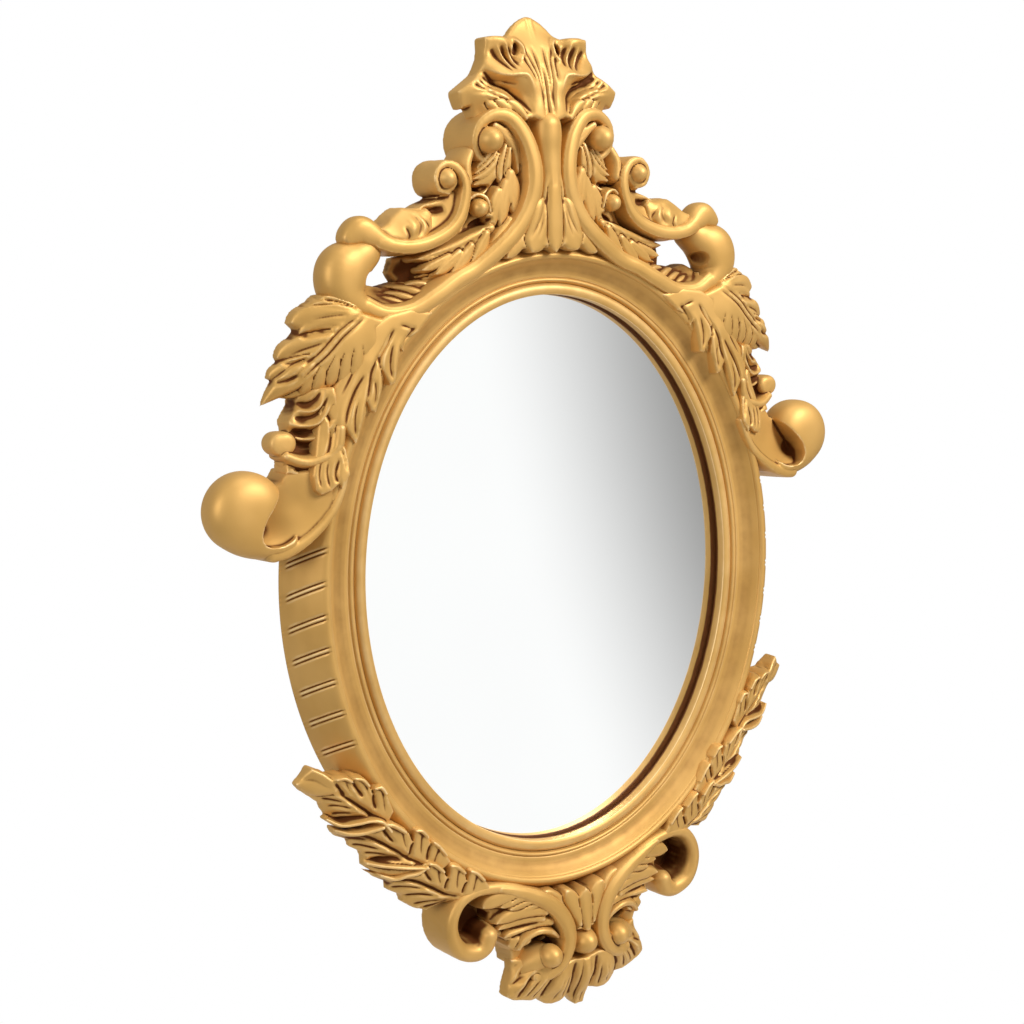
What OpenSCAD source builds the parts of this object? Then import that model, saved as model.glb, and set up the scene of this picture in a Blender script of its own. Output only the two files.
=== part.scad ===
// Oval wall mirror in a carved, gilded frame. Millimetres, +Z up, the front faces -Y and the
// plane y = 0 is the wall. The origin is the centre of the oval, on the wall.

/* [Glass] */
// Width of the glass that shows
sight_w = 336; // [316:2:356]
// Height of the glass that shows
sight_h = 426; // [406:2:446]
// Thickness of the silvered glass
glass_t = 3; // [2:0.5:4]
// Thickness of the backing board
board_t = 3; // [2:0.5:4]
// How far the glass runs in under the lip
rebate_lap = 7; // [6:0.5:9]
// Room left round the edge of the glass and the board
glass_play = 1; // [0.8:0.1:1.5]

/* [Moulding] */
// Height of the ridge over the wall
ridge_h = 37.8; // [35:0.2:40]
// Height of the lip's bead over the wall
lip_h = 28.6; // [26:0.2:30]
// Depth of the lip's wall in front of the glass
lip_depth = 13; // [11:0.5:14]
// Width of the bead round the glass
bead_w = 9; // [8:0.5:10]
// Width of the cove and the ridge at the sides
cove_w = 27.2; // [24:0.2:31]
// Width of the cove and the ridge at the top and the bottom
cove_end_w = 20.3; // [18:0.1:24]
// Width of the sloping flank outside the ridge, at the sides
flank_w = 19.3; // [16:0.1:23]
// Width of the sloping flank at the top and the bottom
flank_end_w = 16; // [13:0.5:19]
// Width of the rim that touches the wall
rim_w = 14; // [11:0.5:16]
// Pairs of slanting grooves on each flank
groove_pairs = 7; // [3:1:7]
// Distance from one pair of grooves to the next
groove_pitch = 23.5; // [20:0.5:24]
// Width and depth of one groove
groove_w = 1.6; // [1:0.1:2]

/* [Carving] */
// How far the main scrolls stand over the ridge
scroll_rise = 10; // [7:0.5:12]
// How far the leaves stand over the ridge
leaf_rise = 4; // [2:0.5:6]
// Width of the scroll bands
band_w = 12; // [10:0.5:13]
// Radius of the ball in the eye of each crest scroll
eye_r = 10.5; // [9:0.5:11.5]
// Radius of the ball on each outer scroll and on each base scroll
small_eye_r = 8.5; // [7:0.5:9.5]
// Radius of the bead among the crest leaves
bead_r = 7; // [5:0.5:8]
// Radius of the bulb on the centre column
bulb_r = 10; // [8.5:0.5:11]
// Radius of the ball at the base
base_ball_r = 12; // [10:0.5:13]
// Radius of the big curl at each side
side_curl_r = 28; // [25:0.5:31]
// Radius of the curl at each shoulder
shoulder_curl_r = 19; // [16:0.5:21]
// Width of a leaf lobe
lobe_w = 18; // [15:0.5:20]

/* [Fixings] */
// Length of a turn button
button_len = 30; // [26:1:34]
// Width of a turn button
button_w = 11; // [9:0.5:13]
// Thickness of the sheet steel of the buttons and the straps
sheet_t = 1.5; // [1:0.1:2]
// Radius of a fixing screw's shank
screw_r = 1.5; // [1.2:0.1:2]
// Length of a fixing screw
screw_len = 10; // [8:1:12]
// Width of a hanger strap
strap_w = 10; // [9:0.5:12]
// Length of a hanger strap
strap_len = 24; // [23:0.5:26]
// Radius of the wire of a hanger ring
wire_r = 1.25; // [1:0.05:1.5]
// Width of a hanger ring, between the wire's centre lines
ring_w = 19; // [17:0.5:21]
// Height of a hanger ring, between the wire's centre lines
ring_h = 24; // [22:0.5:26]

/* [Hidden] */

gold = [0.73, 0.52, 0.26];
silver = [0.8, 0.82, 0.84];
board_brown = [0.45, 0.33, 0.22];
steel = [0.62, 0.63, 0.65];

// Half axes of the ovals that the moulding is drawn through
sight = [sight_w / 2, sight_h / 2];
groove = sight + [bead_w, bead_w];
ridge = groove + [cove_w, cove_end_w];
back_edge = ridge + [flank_w, flank_end_w];
rim_inner = back_edge - [rim_w, rim_w];
rebate = sight + [rebate_lap, rebate_lap];

// Heights over the wall, as places along Y
ledge_y = -(lip_h - lip_depth);
land_y = ledge_y + glass_t + board_t;
ridge_y = -ridge_h;
scroll_y = -(ridge_h + scroll_rise);
leaf_y = -(ridge_h + leaf_rise);
gap = 0.3;
stations = 48;

// Plain helpers

function at(half, t) = [half.x * cos(t), half.y * sin(t)];
// A point on the ridge's oval, or "out" beyond it
function on_ring(t, out = 0) = at(ridge + [out, out], t);
function ring_normal(t) = atan2(sin(t) / ridge.y, cos(t) / ridge.x);
function last(list) = list[len(list) - 1];

// A smooth curve through rows of numbers of any length
function spline(a, b, c, d, t) =
    0.5 * (2 * b + (c - a) * t + (2 * a - 5 * b + 4 * c - d) * t * t
        + (3 * b - a - 3 * c + d) * t * t * t);
function smooth(rows, n) = [
    for (i = [0:len(rows) - 2])
        for (k = [0:n - 1])
            spline(
                rows[max(i - 1, 0)], rows[i], rows[i + 1],
                rows[min(i + 2, len(rows) - 1)], k / n
            ),
    last(rows)
];

// A solid through a list of sections with the same number of points. A closed ring's left half
// is split into triangles as the mirror image of its right half.
module loft(sections, closed = false) {
    m = len(sections[0]);
    n = len(sections);
    spans = closed ? n : n - 1;
    sides = [
        for (i = [0:spans - 1])
            for (j = [0:m - 1])
                let (
                    a = i * m + j,
                    b = i * m + (j + 1) % m,
                    c = ((i + 1) % n) * m + (j + 1) % m,
                    d = ((i + 1) % n) * m + j,
                    left = closed && i >= n / 4 && i < n * 3 / 4
                )
                each left ? [[a, b, d], [b, c, d]] : [[a, b, c], [a, c, d]]
    ];
    caps = closed ? [] : [
        [for (j = [m - 1:-1:0]) j],
        [for (j = [0:m - 1]) (n - 1) * m + j]
    ];
    polyhedron(points = [for (s = sections) each s], faces = concat(sides, caps));
}

// The direction of a flat path at one of its points
function heading(rows, i) =
    let (
        a = rows[max(i - 1, 0)],
        b = rows[min(i + 1, len(rows) - 1)]
    )
    atan2(b[1] - a[1], b[0] - a[0]);

// The fronts of a band, of the column's shaft and of a leaf lobe: place across and fall from
// the crown, both as shares of the half width
band_section = [[-1, 0.55], [-0.6, 0], [0, 0.22], [0.6, 0], [1, 0.55]];
shaft_section = [[-1, 0.5], [-0.6, 0.1], [0, 0], [0.6, 0.1], [1, 0.5]];
lobe_section = [[-1, 0.5], [0, 0], [1, 0.5]];

// A band or a lobe with straight walls to the back, from rows of x, z, half width and front
module strip(rows, n, section, back = 0) {
    path = smooth(rows, n);
    loft([
        for (i = [0:len(path) - 1])
            let (
                p = path[i],
                h = max(p[2], 0.4),
                turn = heading(path, i),
                side = [-sin(turn), cos(turn)]
            )
            [
                [p[0] - side.x * h, back, p[1] - side.y * h],
                for (q = section)
                    [p[0] + side.x * q[0] * h, p[3] + q[1] * h, p[1] + side.y * q[0] * h],
                [p[0] + side.x * h, back, p[1] + side.y * h]
            ]
    ]);
}

module band(rows, n = 3) {
    strip(rows, n, band_section);
}

// A leaf lobe from a root to a tip, with its middle moved sideways by "bow"
module lobe(root, tip, w = lobe_w / 2, front = leaf_y, fall = 8, bow = 0, back = 0) {
    way = tip - root;
    side = [-way.y, way.x] / norm(way);
    mid = (root + tip) / 2 + side * bow;
    late = root * 0.2 + tip * 0.8 + side * bow * 0.6;
    strip(
        [
            [root.x, root.y, w * 0.55, front],
            [mid.x, mid.y, w, front + fall * 0.25],
            [late.x, late.y, w * 0.62, front + fall * 0.65],
            [tip.x, tip.y, 0.8, front + fall]
        ],
        1, lobe_section, back
    );
}

// Lobes that overlap lie one over the other, by about half a millimetre
function overlap_step(i) = 0.7 * (i % 3) + 0.13 * i + 0.31;

// A round boss with a domed front, from "back" to "front"
module boss(place, r, front, back = 0, sides = 12) {
    top = -front;
    translate([place.x, 0, place.y])
        rotate([90, 0, 0])
            rotate_extrude($fn = sides)
                polygon([
                    [0, -back], [r, -back], [r, top - r], [0.87 * r, top - 0.5 * r],
                    [0.5 * r, top - 0.13 * r], [0, top]
                ]);
}

// A round curl, widest half way between its front and its back
module curl(place, r, front, back, sides = 14) {
    half = (back - front) / 2;
    translate([place.x, (front + back) / 2, place.y])
        rotate([90, 0, 0])
            rotate_extrude($fn = sides)
                polygon([
                    [0, -half], [0.6 * r, -half], [0.92 * r, -0.5 * half], [r, 0],
                    [0.9 * r, 0.5 * half], [0.55 * r, 0.88 * half], [0, half]
                ]);
}

// A flat piece of the ground behind the leaves
module ground(outline, front, back = 0) {
    rotate([90, 0, 0])
        translate([0, 0, -back])
            linear_extrude(height = back - front)
                polygon(outline);
}

// One carved piece: the first child, cut to fit against all the others
module carved() {
    color(gold)
        resize([0, 0, 0])
            difference() {
                children(0);
                children([1:$children - 1]);
            }
}

module other_side() {
    mirror([1, 0, 0])
        children();
}

// The moulding

// The moulding's section: half width, half height and place along Y, from the rebate round
function part_way(a, b, u) = a + (b - a) * u;
function ring_section() = [
    [rebate, land_y],
    [rebate, ledge_y],
    [sight, ledge_y],
    [sight, -lip_h + 2],
    [part_way(sight, groove, 0.45), -lip_h],
    [groove, -lip_h + 3.2],
    [part_way(groove, ridge, 0.1), -lip_h + 1],
    [part_way(groove, ridge, 0.65), -lip_h - 2.4],
    [part_way(groove, ridge, 0.9), ridge_y + 1.4],
    [ridge, ridge_y],
    [part_way(ridge, back_edge, 0.16), ridge_y + 2],
    [part_way(ridge, back_edge, 0.5), ridge_y * 0.7],
    [part_way(ridge, back_edge, 0.8), ridge_y * 0.38],
    [back_edge, 0],
    [rim_inner, 0],
    [rim_inner, land_y]
];

module ring_solid() {
    section = ring_section();
    loft(
        [
            for (i = [0:stations - 1])
                let (t = -i * 360 / stations)
                [for (s = section) let (p = at(s[0], t)) [p.x, s[1], p.y]]
        ],
        closed = true
    );
}

// The room that the moulding takes up from the wall to its front, which carving stays out of
module ring_block() {
    front = [for (i = [5:13]) ring_section()[i]];
    past_wall = 1.04;
    section = concat(
        [[groove, 1]],
        [for (i = [0:len(front) - 2]) front[i]],
        [[
            part_way(front[7][0], back_edge, past_wall),
            part_way(front[7][1], 0, past_wall)
        ]]
    );
    loft(
        [
            for (i = [0:stations - 1])
                let (t = -i * 360 / stations)
                [for (s = section) let (p = at(s[0], t)) [p.x, s[1], p.y]]
        ],
        closed = true
    );
}

// One slanting groove down the flank, starting at height z just outside the ridge
groove_slope = 0.42;
module flank_groove(z) {
    flank = [for (i = [10:13]) ring_section()[i]];
    loft([
        for (s = flank)
            let (
                zz = z - (s[1] - ridge_y) * groove_slope,
                x = s[0].x * sqrt(1 - pow(zz / s[0].y, 2)),
                half = groove_w / 2,
                y = s[1] + (s[1] > -1 ? 1 : 0)
            )
            [
                for (q = [[-groove_w * 0.8, -half], [2, -half], [2, half], [-groove_w * 0.8, half]])
                    [x + q[0], y - q[0] * 0.3, zz + q[1]]
            ]
    ]);
}

groove_top = 48;
pair_gap = 3.4;
module flank_grooves() {
    for (i = [0:groove_pairs - 1])
        for (k = [0, 1])
            flank_groove(groove_top - i * groove_pitch - k * pair_gap);
}

// Where the turn buttons and the hangers sit on the land behind the glass
land_mid = (rebate + rim_inner) / 2;
button_count = 6;
button_angles = [for (i = [0:button_count - 1]) i * 360 / button_count];
button_seat = rebate + [9, 9];
hanger_angle = 30;
hanger_place = at(land_mid - [4, 4], hanger_angle);
strap_holes = [6, 14];
knuckle_r = wire_r + sheet_t + 0.05;
hinge_y = land_y + knuckle_r;
hinge_z = hanger_place.y;

module at_button(i) {
    p = at(button_seat, button_angles[i]);
    lean = atan2(
        sin(button_angles[i]) / button_seat.y,
        cos(button_angles[i]) / button_seat.x
    );
    translate([p.x, land_y, p.y])
        rotate([0, -lean, 0])
            children();
}

module at_strap_holes() {
    for (h = strap_holes)
        translate([hanger_place.x, land_y, hinge_z - knuckle_r - h])
            children();
}

module along_y(r, from, to, sides = 24) {
    translate([0, to, 0])
        rotate([90, 0, 0])
            cylinder(r = r, h = to - from, $fn = sides);
}

module oval_frame() {
    color(gold)
        difference() {
            resize([0, 0, 0])
                difference() {
                    ring_solid();
                    flank_grooves();
                    other_side()
                        flank_grooves();
                }
            for (i = [0:button_count - 1])
                at_button(i)
                    along_y(screw_r, -screw_len, 1);
            at_strap_holes()
                along_y(screw_r, -screw_len, 1);
            other_side()
                at_strap_holes()
                    along_y(screw_r, -screw_len, 1);
        }
}

// Glass and back

module oval_plate(half, y_front, t) {
    translate([0, y_front + t, 0])
        rotate([90, 0, 0])
            scale([half.x, half.y, 1])
                cylinder(r = 1, h = t, $fn = 96);
}

module mirror_glass() {
    color(silver)
        oval_plate(rebate - [glass_play, glass_play], ledge_y, glass_t);
}

module backing_board() {
    color(board_brown)
        oval_plate(rebate - [glass_play, glass_play], ledge_y + glass_t, board_t);
}

button_tail = 8;
module turn_button(i) {
    color(steel)
        at_button(i)
            difference() {
                translate([0, gap, 0])
                    rotate([-90, 0, 0])
                        linear_extrude(height = sheet_t)
                            hull() {
                                translate([button_tail - button_w / 2, 0])
                                    circle(d = button_w, $fn = 32);
                                translate([button_tail - button_len + button_w / 2, 0])
                                    circle(d = button_w * 0.8, $fn = 32);
                            }
                along_y(screw_r + 0.1, -1, sheet_t + 1);
            }
}

head_h = 1.2;
module screw(grip) {
    along_y(screw_r, -screw_len, grip);
    difference() {
        along_y(screw_r * 2.1, grip, grip + head_h);
        translate([0, grip + head_h, 0])
            cube([screw_r * 3, head_h, 0.8], center = true);
    }
}

module turn_button_screws() {
    color(steel)
        for (i = [0:button_count - 1])
            at_button(i)
                screw(sheet_t + gap * 2);
}

// A hanger: a strap folded round the straight bar of a D-shaped wire ring

module hanger_strap() {
    tab = strap_len - knuckle_r;
    color(steel)
        difference() {
            union() {
                translate([
                    hanger_place.x - strap_w / 2, land_y, hinge_z - tab
                ])
                    cube([strap_w, sheet_t, tab]);
                translate([hanger_place.x - strap_w / 2, hinge_y, hinge_z])
                    rotate([0, 90, 0])
                        cylinder(r = knuckle_r, h = strap_w, $fn = 32);
            }
            translate([hanger_place.x - strap_w / 2 - 1, hinge_y, hinge_z])
                rotate([0, 90, 0])
                    cylinder(r = wire_r + 0.05, h = strap_w + 2, $fn = 32);
            at_strap_holes()
                along_y(screw_r + 0.1, -1, sheet_t + 1);
        }
}

module wire(a, b) {
    way = b - a;
    translate(a)
        rotate([0, acos(way.z / norm(way)), atan2(way.y, way.x)])
            cylinder(r = wire_r, h = norm(way), $fn = 24);
}

module hanger_ring() {
    bow_r = ring_w / 2;
    leg = ring_h - bow_r;
    color(steel)
        translate([hanger_place.x, hinge_y, hinge_z]) {
            wire([-bow_r, 0, 0], [bow_r, 0, 0]);
            for (s = [-1, 1]) {
                translate([s * bow_r, 0, 0])
                    sphere(r = wire_r, $fn = 24);
                wire([s * bow_r, 0, 0], [s * bow_r, 0, -leg]);
            }
            translate([0, 0, -leg])
                rotate([90, 0, 0])
                    rotate([0, 0, 180])
                        rotate_extrude(angle = 180, $fn = 48)
                            translate([bow_r, 0])
                                circle(r = wire_r, $fn = 24);
        }
}

module hanger_screws() {
    color(steel) {
        at_strap_holes()
            screw(sheet_t);
        other_side()
            at_strap_holes()
                screw(sheet_t);
    }
}

// The crest. Its points are measured from the top of the ridge's oval, so that the whole
// crest follows the oval.

top = ridge.y;
function crest(x, z) = [x, top + z];
function crest_row(x, z, half, rise) = [x, top + z, half, scroll_y + scroll_rise - rise];
half_band = band_w / 2;

eye = crest(49.4, 84);
module crest_eye() {
    boss(eye, eye_r, scroll_y - 2);
}

// Each crest scroll starts beside its eye, drops past the column, runs along the ridge and
// ends in the shoulder's curl.
shoulder_t = 52;
shoulder = on_ring(shoulder_t);
function crest_scroll_rows() = concat(
    [
        crest_row(58, 76, 2.5, 1),
        crest_row(61, 87, 3, 2),
        crest_row(56, 98, 3.5, 4),
        crest_row(43.5, 103, 4, 6),
        crest_row(30.5, 99, half_band * 0.8, 8),
        crest_row(21.5, 86, half_band * 0.95, 10),
        crest_row(16.8, 68, half_band, 11),
        crest_row(16, 52, half_band, 11),
        crest_row(20, 38, half_band, 10),
        crest_row(29.5, 23, half_band, 9),
        crest_row(44, 9.5, half_band, 8)
    ],
    [
        for (t = [72:-5:62])
            let (p = on_ring(t, 6)) [p.x, p.y, half_band * 0.95, ridge_y - 5]
    ],
    [
        let (p = on_ring(56, 10)) [p.x, p.y, half_band * 0.8, ridge_y - 3],
        [shoulder.x + 15, shoulder.y + 17, half_band * 0.9, ridge_y - 2],
        [shoulder.x + 28, shoulder.y + 23, half_band * 1.3, ridge_y],
        [shoulder.x + 38, shoulder.y + 32, half_band * 1.8, ridge_y]
    ]
);
module crest_scroll_shape() {
    band(crest_scroll_rows(), 2);
    crest_eye();
    hull() {
        curl(shoulder + [39, 46], shoulder_curl_r, ridge_y - 2, -7);
        curl(shoulder + [25, 57], shoulder_curl_r * 0.5, ridge_y + 4, -9);
        curl(shoulder + [34, 32], shoulder_curl_r * 0.6, ridge_y - 1, -9);
    }
}

module crest_column_shape() {
    strip(
        [
            [0, top + 95, bulb_r * 0.9, scroll_y - 1],
            [0, top + 74, bulb_r * 0.8, scroll_y - 1],
            [0, top + 52, bulb_r * 0.75, scroll_y - 1],
            [0, top + 30, bulb_r, scroll_y - 1],
            [0, top + 16, bulb_r * 1.4, scroll_y]
        ],
        1, shaft_section
    );
    boss(crest(0, 90), bulb_r, scroll_y - 4);
    lobe(crest(0, 34), crest(0, 5), 8, scroll_y, 5);
    for (s = [-1, 1]) {
        lobe(crest(s * 5, 34), crest(s * 22, 6), 8, scroll_y, 5);
        lobe(crest(s * 9, 28), crest(s * 40, 3), 6, scroll_y + 2, 5);
    }
}

function mirrored(p) = [-p.x, p.y];
palmette_lobes = [
    [crest(5, 108), crest(25, 162), 9, 20, -3],
    [crest(7, 108), crest(43, 157), 9, 25, -4],
    [crest(8, 106), crest(51, 134), 8, 25, -4],
    [crest(9, 102), crest(67, 120), 9, 26, -2],
    [crest(14, 104), crest(59, 113), 6, 26, 2]
];
palmette_back = -9;
module crest_palmette_shape() {
    lobe(crest(0, 98), crest(0, 173), 15, scroll_y, 24, 0, palmette_back);
    for (i = [0:len(palmette_lobes) - 1])
        let (l = palmette_lobes[i], front = scroll_y + overlap_step(i)) {
            lobe(l[0], l[1], l[2], front, l[3], l[4], palmette_back);
            lobe(mirrored(l[0]), mirrored(l[1]), l[2], front, l[3], -l[4], palmette_back);
        }
    ground(
        [
            crest(-46, 109), crest(-52, 118), crest(-42, 134), crest(-33, 148),
            crest(-16, 157), crest(0, 164), crest(16, 157), crest(33, 148),
            crest(42, 134), crest(52, 118), crest(46, 109), crest(0, 97)
        ],
        -16, palmette_back
    );
}

spray_lobes = [
    [crest(44, 96), crest(23, 54), 6, -3],
    [crest(40, 80), crest(32, 56), 5, 0],
    [crest(48, 76), crest(42, 56), 5, 0],
    [crest(54, 75.5), crest(62, 58), 5, 3],
    [crest(31, 60), crest(27, 30), 8, 2],
    [crest(40, 52), crest(39, 21), 8, 2],
    [crest(50, 46), crest(52, 19), 7, 2],
    [crest(50, 24), crest(58, 3), 7, 2],
    [crest(62, 20), crest(72, -3), 7, 2],
    [crest(74, 15), crest(86, -7), 7, 2],
    [crest(84, 12), crest(104, -6), 6, 2],
    [crest(98, 8), crest(122, -10), 6, 2]
];
module crest_spray_shape() {
    spray_y = ridge_y + 2;
    for (i = [0:len(spray_lobes) - 1])
        let (l = spray_lobes[i])
            lobe(l[0], l[1], l[2], spray_y + overlap_step(i), 4, l[3]);
    boss(crest(59.8, 37), bead_r, spray_y - 6);
    ground(
        [
            crest(24, 40), crest(24, 84), crest(40, 98), crest(56, 72), crest(70, 60),
            crest(66, 36), crest(84, 18), crest(118, 4), crest(118, -14), crest(60, -6),
            crest(34, 16)
        ],
        ridge_y + 14
    );
}

outer_eye = crest(85.8, 58);
module outer_scroll_shape() {
    outer_y = ridge_y - 2;
    band(
        [
            [87, top + 68, 2, outer_y + 2],
            [76, top + 64, 3.4, outer_y],
            [69.5, top + 54, 4, outer_y],
            [68.5, top + 42, 5, outer_y],
            [74, top + 29, half_band, outer_y],
            [86, top + 19, half_band, outer_y],
            [102, top + 14.5, half_band, outer_y],
            [118, top + 14, half_band * 0.9, outer_y + 1],
            [133, top + 16, half_band * 0.9, outer_y + 2],
            [147, top + 24, half_band * 1.1, outer_y + 3]
        ],
        2
    );
    boss(outer_eye, small_eye_r, outer_y - 6);
    hull() {
        boss(crest(150, 26), small_eye_r, outer_y + 6);
        boss(crest(141, 24), small_eye_r * 0.8, outer_y + 6);
    }
    ground(
        [
            crest(78, 60), crest(70, 44), crest(80, 24), crest(118, 16), crest(128, 24),
            crest(112, 36), crest(97, 40), crest(93, 52)
        ],
        ridge_y + 9
    );
}

outer_leaf_tips = [[134, 24], [127, 34], [117, 39], [105, 39]];
module outer_leaf_shape() {
    for (i = [0:len(outer_leaf_tips) - 1])
        let (p = outer_leaf_tips[i])
            lobe(
                crest(100 + (p.x - 100) * 0.3, 19), crest(p.x, p.y), 6.5,
                ridge_y + 2 + overlap_step(i), 6, 2
            );
}

// Leaves and curls of the shoulders and the sides

shoulder_leaf_lobes = [
    [[33, 18], [66, 27], 8, 12, -2],
    [[38, 15], [84, 14], 9, 14, -2],
    [[48, 8], [96, -7], 9, 19, -3],
    [[60, -2], [104, -21], 8, 21, -2],
    [[66, -6], [111, -39], 9, 22, 0],
    [[62, 0], [83, -36], 8, 14, 2],
    [[54, 6], [68, -33], 8, 10, 2],
    [[46, 10], [53, -31], 8, 7, 2],
    [[38, 14], [39, -26], 8, 5, 2],
    [[28, 16], [22, -14], 9, 3, 2],
    [[20, 14], [8, 2], 8, 2, 0]
];
shoulder_leaf_back = -7;
module shoulder_leaf_shape() {
    lobe(shoulder + [30, 18], shoulder + [109, -39], 10, leaf_y, 25, 0, shoulder_leaf_back);
    for (i = [0:len(shoulder_leaf_lobes) - 1])
        let (l = shoulder_leaf_lobes[i])
            lobe(
                shoulder + l[0], shoulder + l[1], l[2], leaf_y + overlap_step(i), l[3],
                l[4], shoulder_leaf_back
            );
}

// Lobes that lie on the ring: angle and distance of the root, then of the tip, and the fall
flank_leaf_lobes = [
    [56, 8, 51.5, -9, 2],
    [51, 10, 44, -9, 2],
    [46, 10, 37, -9, 2],
    [39, 10, 30, -6, 2],
    [32, 10, 23, -5, 2],
    [30, 14, 20, 12, 6],
    [38, 16, 30, 24, 12],
    [46, 16, 36, 24, 12]
];
module flank_leaf_shape() {
    for (i = [0:len(flank_leaf_lobes) - 1])
        let (l = flank_leaf_lobes[i])
            lobe(
                on_ring(l[0], l[1]), on_ring(l[2], l[3]), lobe_w * 0.55,
                leaf_y + overlap_step(i), l[4], 2, -6
            );
    band(
        [
            for (t = [47:-6:23])
                let (p = on_ring(t, 10)) [p.x, p.y, lobe_w * 0.4, ridge_y - 1]
        ],
        1
    );
}

side = on_ring(20);
module side_curl_shape() {
    hull() {
        curl(side + [32, 47], 9, ridge_y + 8, -7, 10);
        curl(side + [18, 38], 9, ridge_y + 6, -7, 10);
    }
    hull() {
        curl(side + [19, 38.5], 8, ridge_y + 7, -8, 9);
        curl(side + [-4, 42], 8, ridge_y + 2, -9, 10);
    }
}

module side_scroll_shape() {
    arm = side + [92 - side_curl_r * 1.5, -4 - side_curl_r * 0.5];
    difference() {
        union() {
            hull() {
                curl(side + [92 - side_curl_r, -4], side_curl_r, ridge_y - 5, -2, 20);
                curl(arm, side_curl_r * 0.5, ridge_y - 2, -5, 12);
            }
            hull() {
                curl(arm + [2, -1], side_curl_r * 0.42, ridge_y - 1, -6, 11);
                curl(side + [20, -23], side_curl_r * 0.4, ridge_y + 2, -5, 12);
            }
            hull() {
                curl(side + [22, -21.5], side_curl_r * 0.36, ridge_y + 3, -6, 10);
                curl(side + [4, 3], side_curl_r * 0.3, ridge_y + 4, -7, 12);
            }
            ground([side + [9, 8], side + [14, -24], side + [56, -20], side + [46, 6]], ridge_y + 24);
        }
        translate([side.x + 34, ridge_y + 4, side.y + 2])
            rotate([90, 0, 0])
                cylinder(r1 = 7, r2 = 15, h = 14, center = true, $fn = 16);
    }
}

// One leaf of the lower garlands, in its own frame: along the ring and away from it
garland_lobes = [
    [[0, 28], [38, 44], 9, 20, 0],
    [[-12, 24], [15, 39], 8, 17, 0],
    [[-22, 22], [1, 42], 8, 18, 0],
    [[-6, 20], [20, 17], 8, 6, 0],
    [[-16, 16], [9, 6], 8, 2, 0],
    [[-26, 12], [-6, -4], 8, 1, 0],
    [[-36, 10], [-22, -5], 8, 1, 0]
];
garland_step = 12.5;
garland_back = -5;
module garland_leaf(i) {
    t = -32.5 - i * garland_step;
    p = on_ring(t);
    translate([p.x, 0, p.y])
        rotate([0, 90 - ring_normal(t), 0])
            mirror([1, 0, 0]) {
                for (i = [0:len(garland_lobes) - 1])
                    let (l = garland_lobes[i])
                        lobe(
                            l[0], l[1], l[2], leaf_y + overlap_step(i), l[3], l[4],
                            garland_back
                        );
                lobe([-42, 10], [20, 30], 10, leaf_y, 8, 0, garland_back);
            }
}

// The base, measured down from the bottom of the ridge's oval

function base(x, z) = [x, -ridge.y - z];
function base_row(x, z, half, rise) = [x, -ridge.y - z, half, ridge_y - rise];

module base_scroll_shape() {
    band(
        [
            base_row(44, 5, half_band * 0.6, 4),
            base_row(60, -1, half_band * 0.8, 3),
            base_row(80, -7, half_band * 0.85, 1),
            base_row(100, -7, half_band * 0.85, 0),
            base_row(114, 2, half_band * 0.85, 0),
            base_row(118.5, 17, half_band * 0.85, 0),
            base_row(112, 33, half_band, 0),
            base_row(97, 41, half_band * 1.1, 0),
            base_row(83, 36, half_band * 1.3, 0)
        ],
        3
    );
    boss(base(84, 27), small_eye_r, ridge_y - 3);
}

module base_inner_scroll_shape() {
    band(
        [
            base_row(70, -3, half_band * 0.5, 4),
            base_row(56, 2, half_band * 0.85, 5),
            base_row(38, 15, half_band * 0.9, 6),
            base_row(24, 34, half_band * 0.9, 7),
            base_row(18, 54, half_band * 0.9, 7),
            base_row(22, 69, half_band * 0.85, 6),
            base_row(34, 72, half_band * 0.85, 5)
        ],
        3
    );
    boss(base(33.2, 58.6), small_eye_r + 0.5, ridge_y - 9);
}

base_spray_lobes = [
    [base(52, 8), base(90, 8), 7, 6],
    [base(50, 13), base(82, 19), 6, 8],
    [base(44, 20), base(76, 26), 6, 8],
    [base(40, 26), base(62, 38), 8, 8],
    [base(34, 34), base(62, 50), 8, 8],
    [base(32, 44), base(62, 64), 8, 12]
];
module base_spray_shape() {
    for (i = [0:len(base_spray_lobes) - 1])
        let (l = base_spray_lobes[i])
            lobe(l[0], l[1], l[2], ridge_y - 1 + overlap_step(i), l[3], -2);
    ground(
        [
            base(48, 0), base(78, -3), base(84, 10), base(66, 24), base(62, 62), base(40, 72),
            base(24, 60), base(26, 36), base(38, 16)
        ],
        ridge_y + 16
    );
}

module base_fan_shape() {
    strip(
        [
            [0, -ridge.y - 60, 8, scroll_y + 4],
            [0, -ridge.y - 36, 7, scroll_y + 4],
            [0, -ridge.y - 10, 12, scroll_y + 6]
        ],
        1, shaft_section
    );
    lobe(base(0, 38), base(0, 11), 7, scroll_y + 4, 4);
    for (s = [-1, 1]) {
        lobe(base(s * 3, 36), base(s * 16, 9), 7, scroll_y + 4, 4);
        lobe(base(s * 6, 32), base(s * 32, 5), 6, scroll_y + 5, 4);
    }
}

module base_ball_shape() {
    boss(base(0, 55), base_ball_r, scroll_y - 1, 0, 16);
}

base_palmette_lobes = [
    [base(5, 74), base(15, 102), 7, 18, 0],
    [base(9, 77), base(29, 99), 8, 19, 0],
    [base(16, 79), base(43, 93), 8, 19, 0],
    [base(24, 79), base(58, 83), 8, 20, 0],
    [base(36, 76), base(61, 71), 7, 20, 0]
];
module base_palmette_shape() {
    lobe(base(0, 62), base(0, 108), 9, scroll_y + 4, 20);
    for (i = [0:len(base_palmette_lobes) - 1])
        let (l = base_palmette_lobes[i], front = scroll_y + 6 + overlap_step(i)) {
            lobe(l[0], l[1], l[2], front, l[3], l[4]);
            lobe(mirrored(l[0]), mirrored(l[1]), l[2], front, l[3], -l[4]);
        }
}

// The carved pieces, each fitted to the moulding and to the pieces already there

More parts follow.
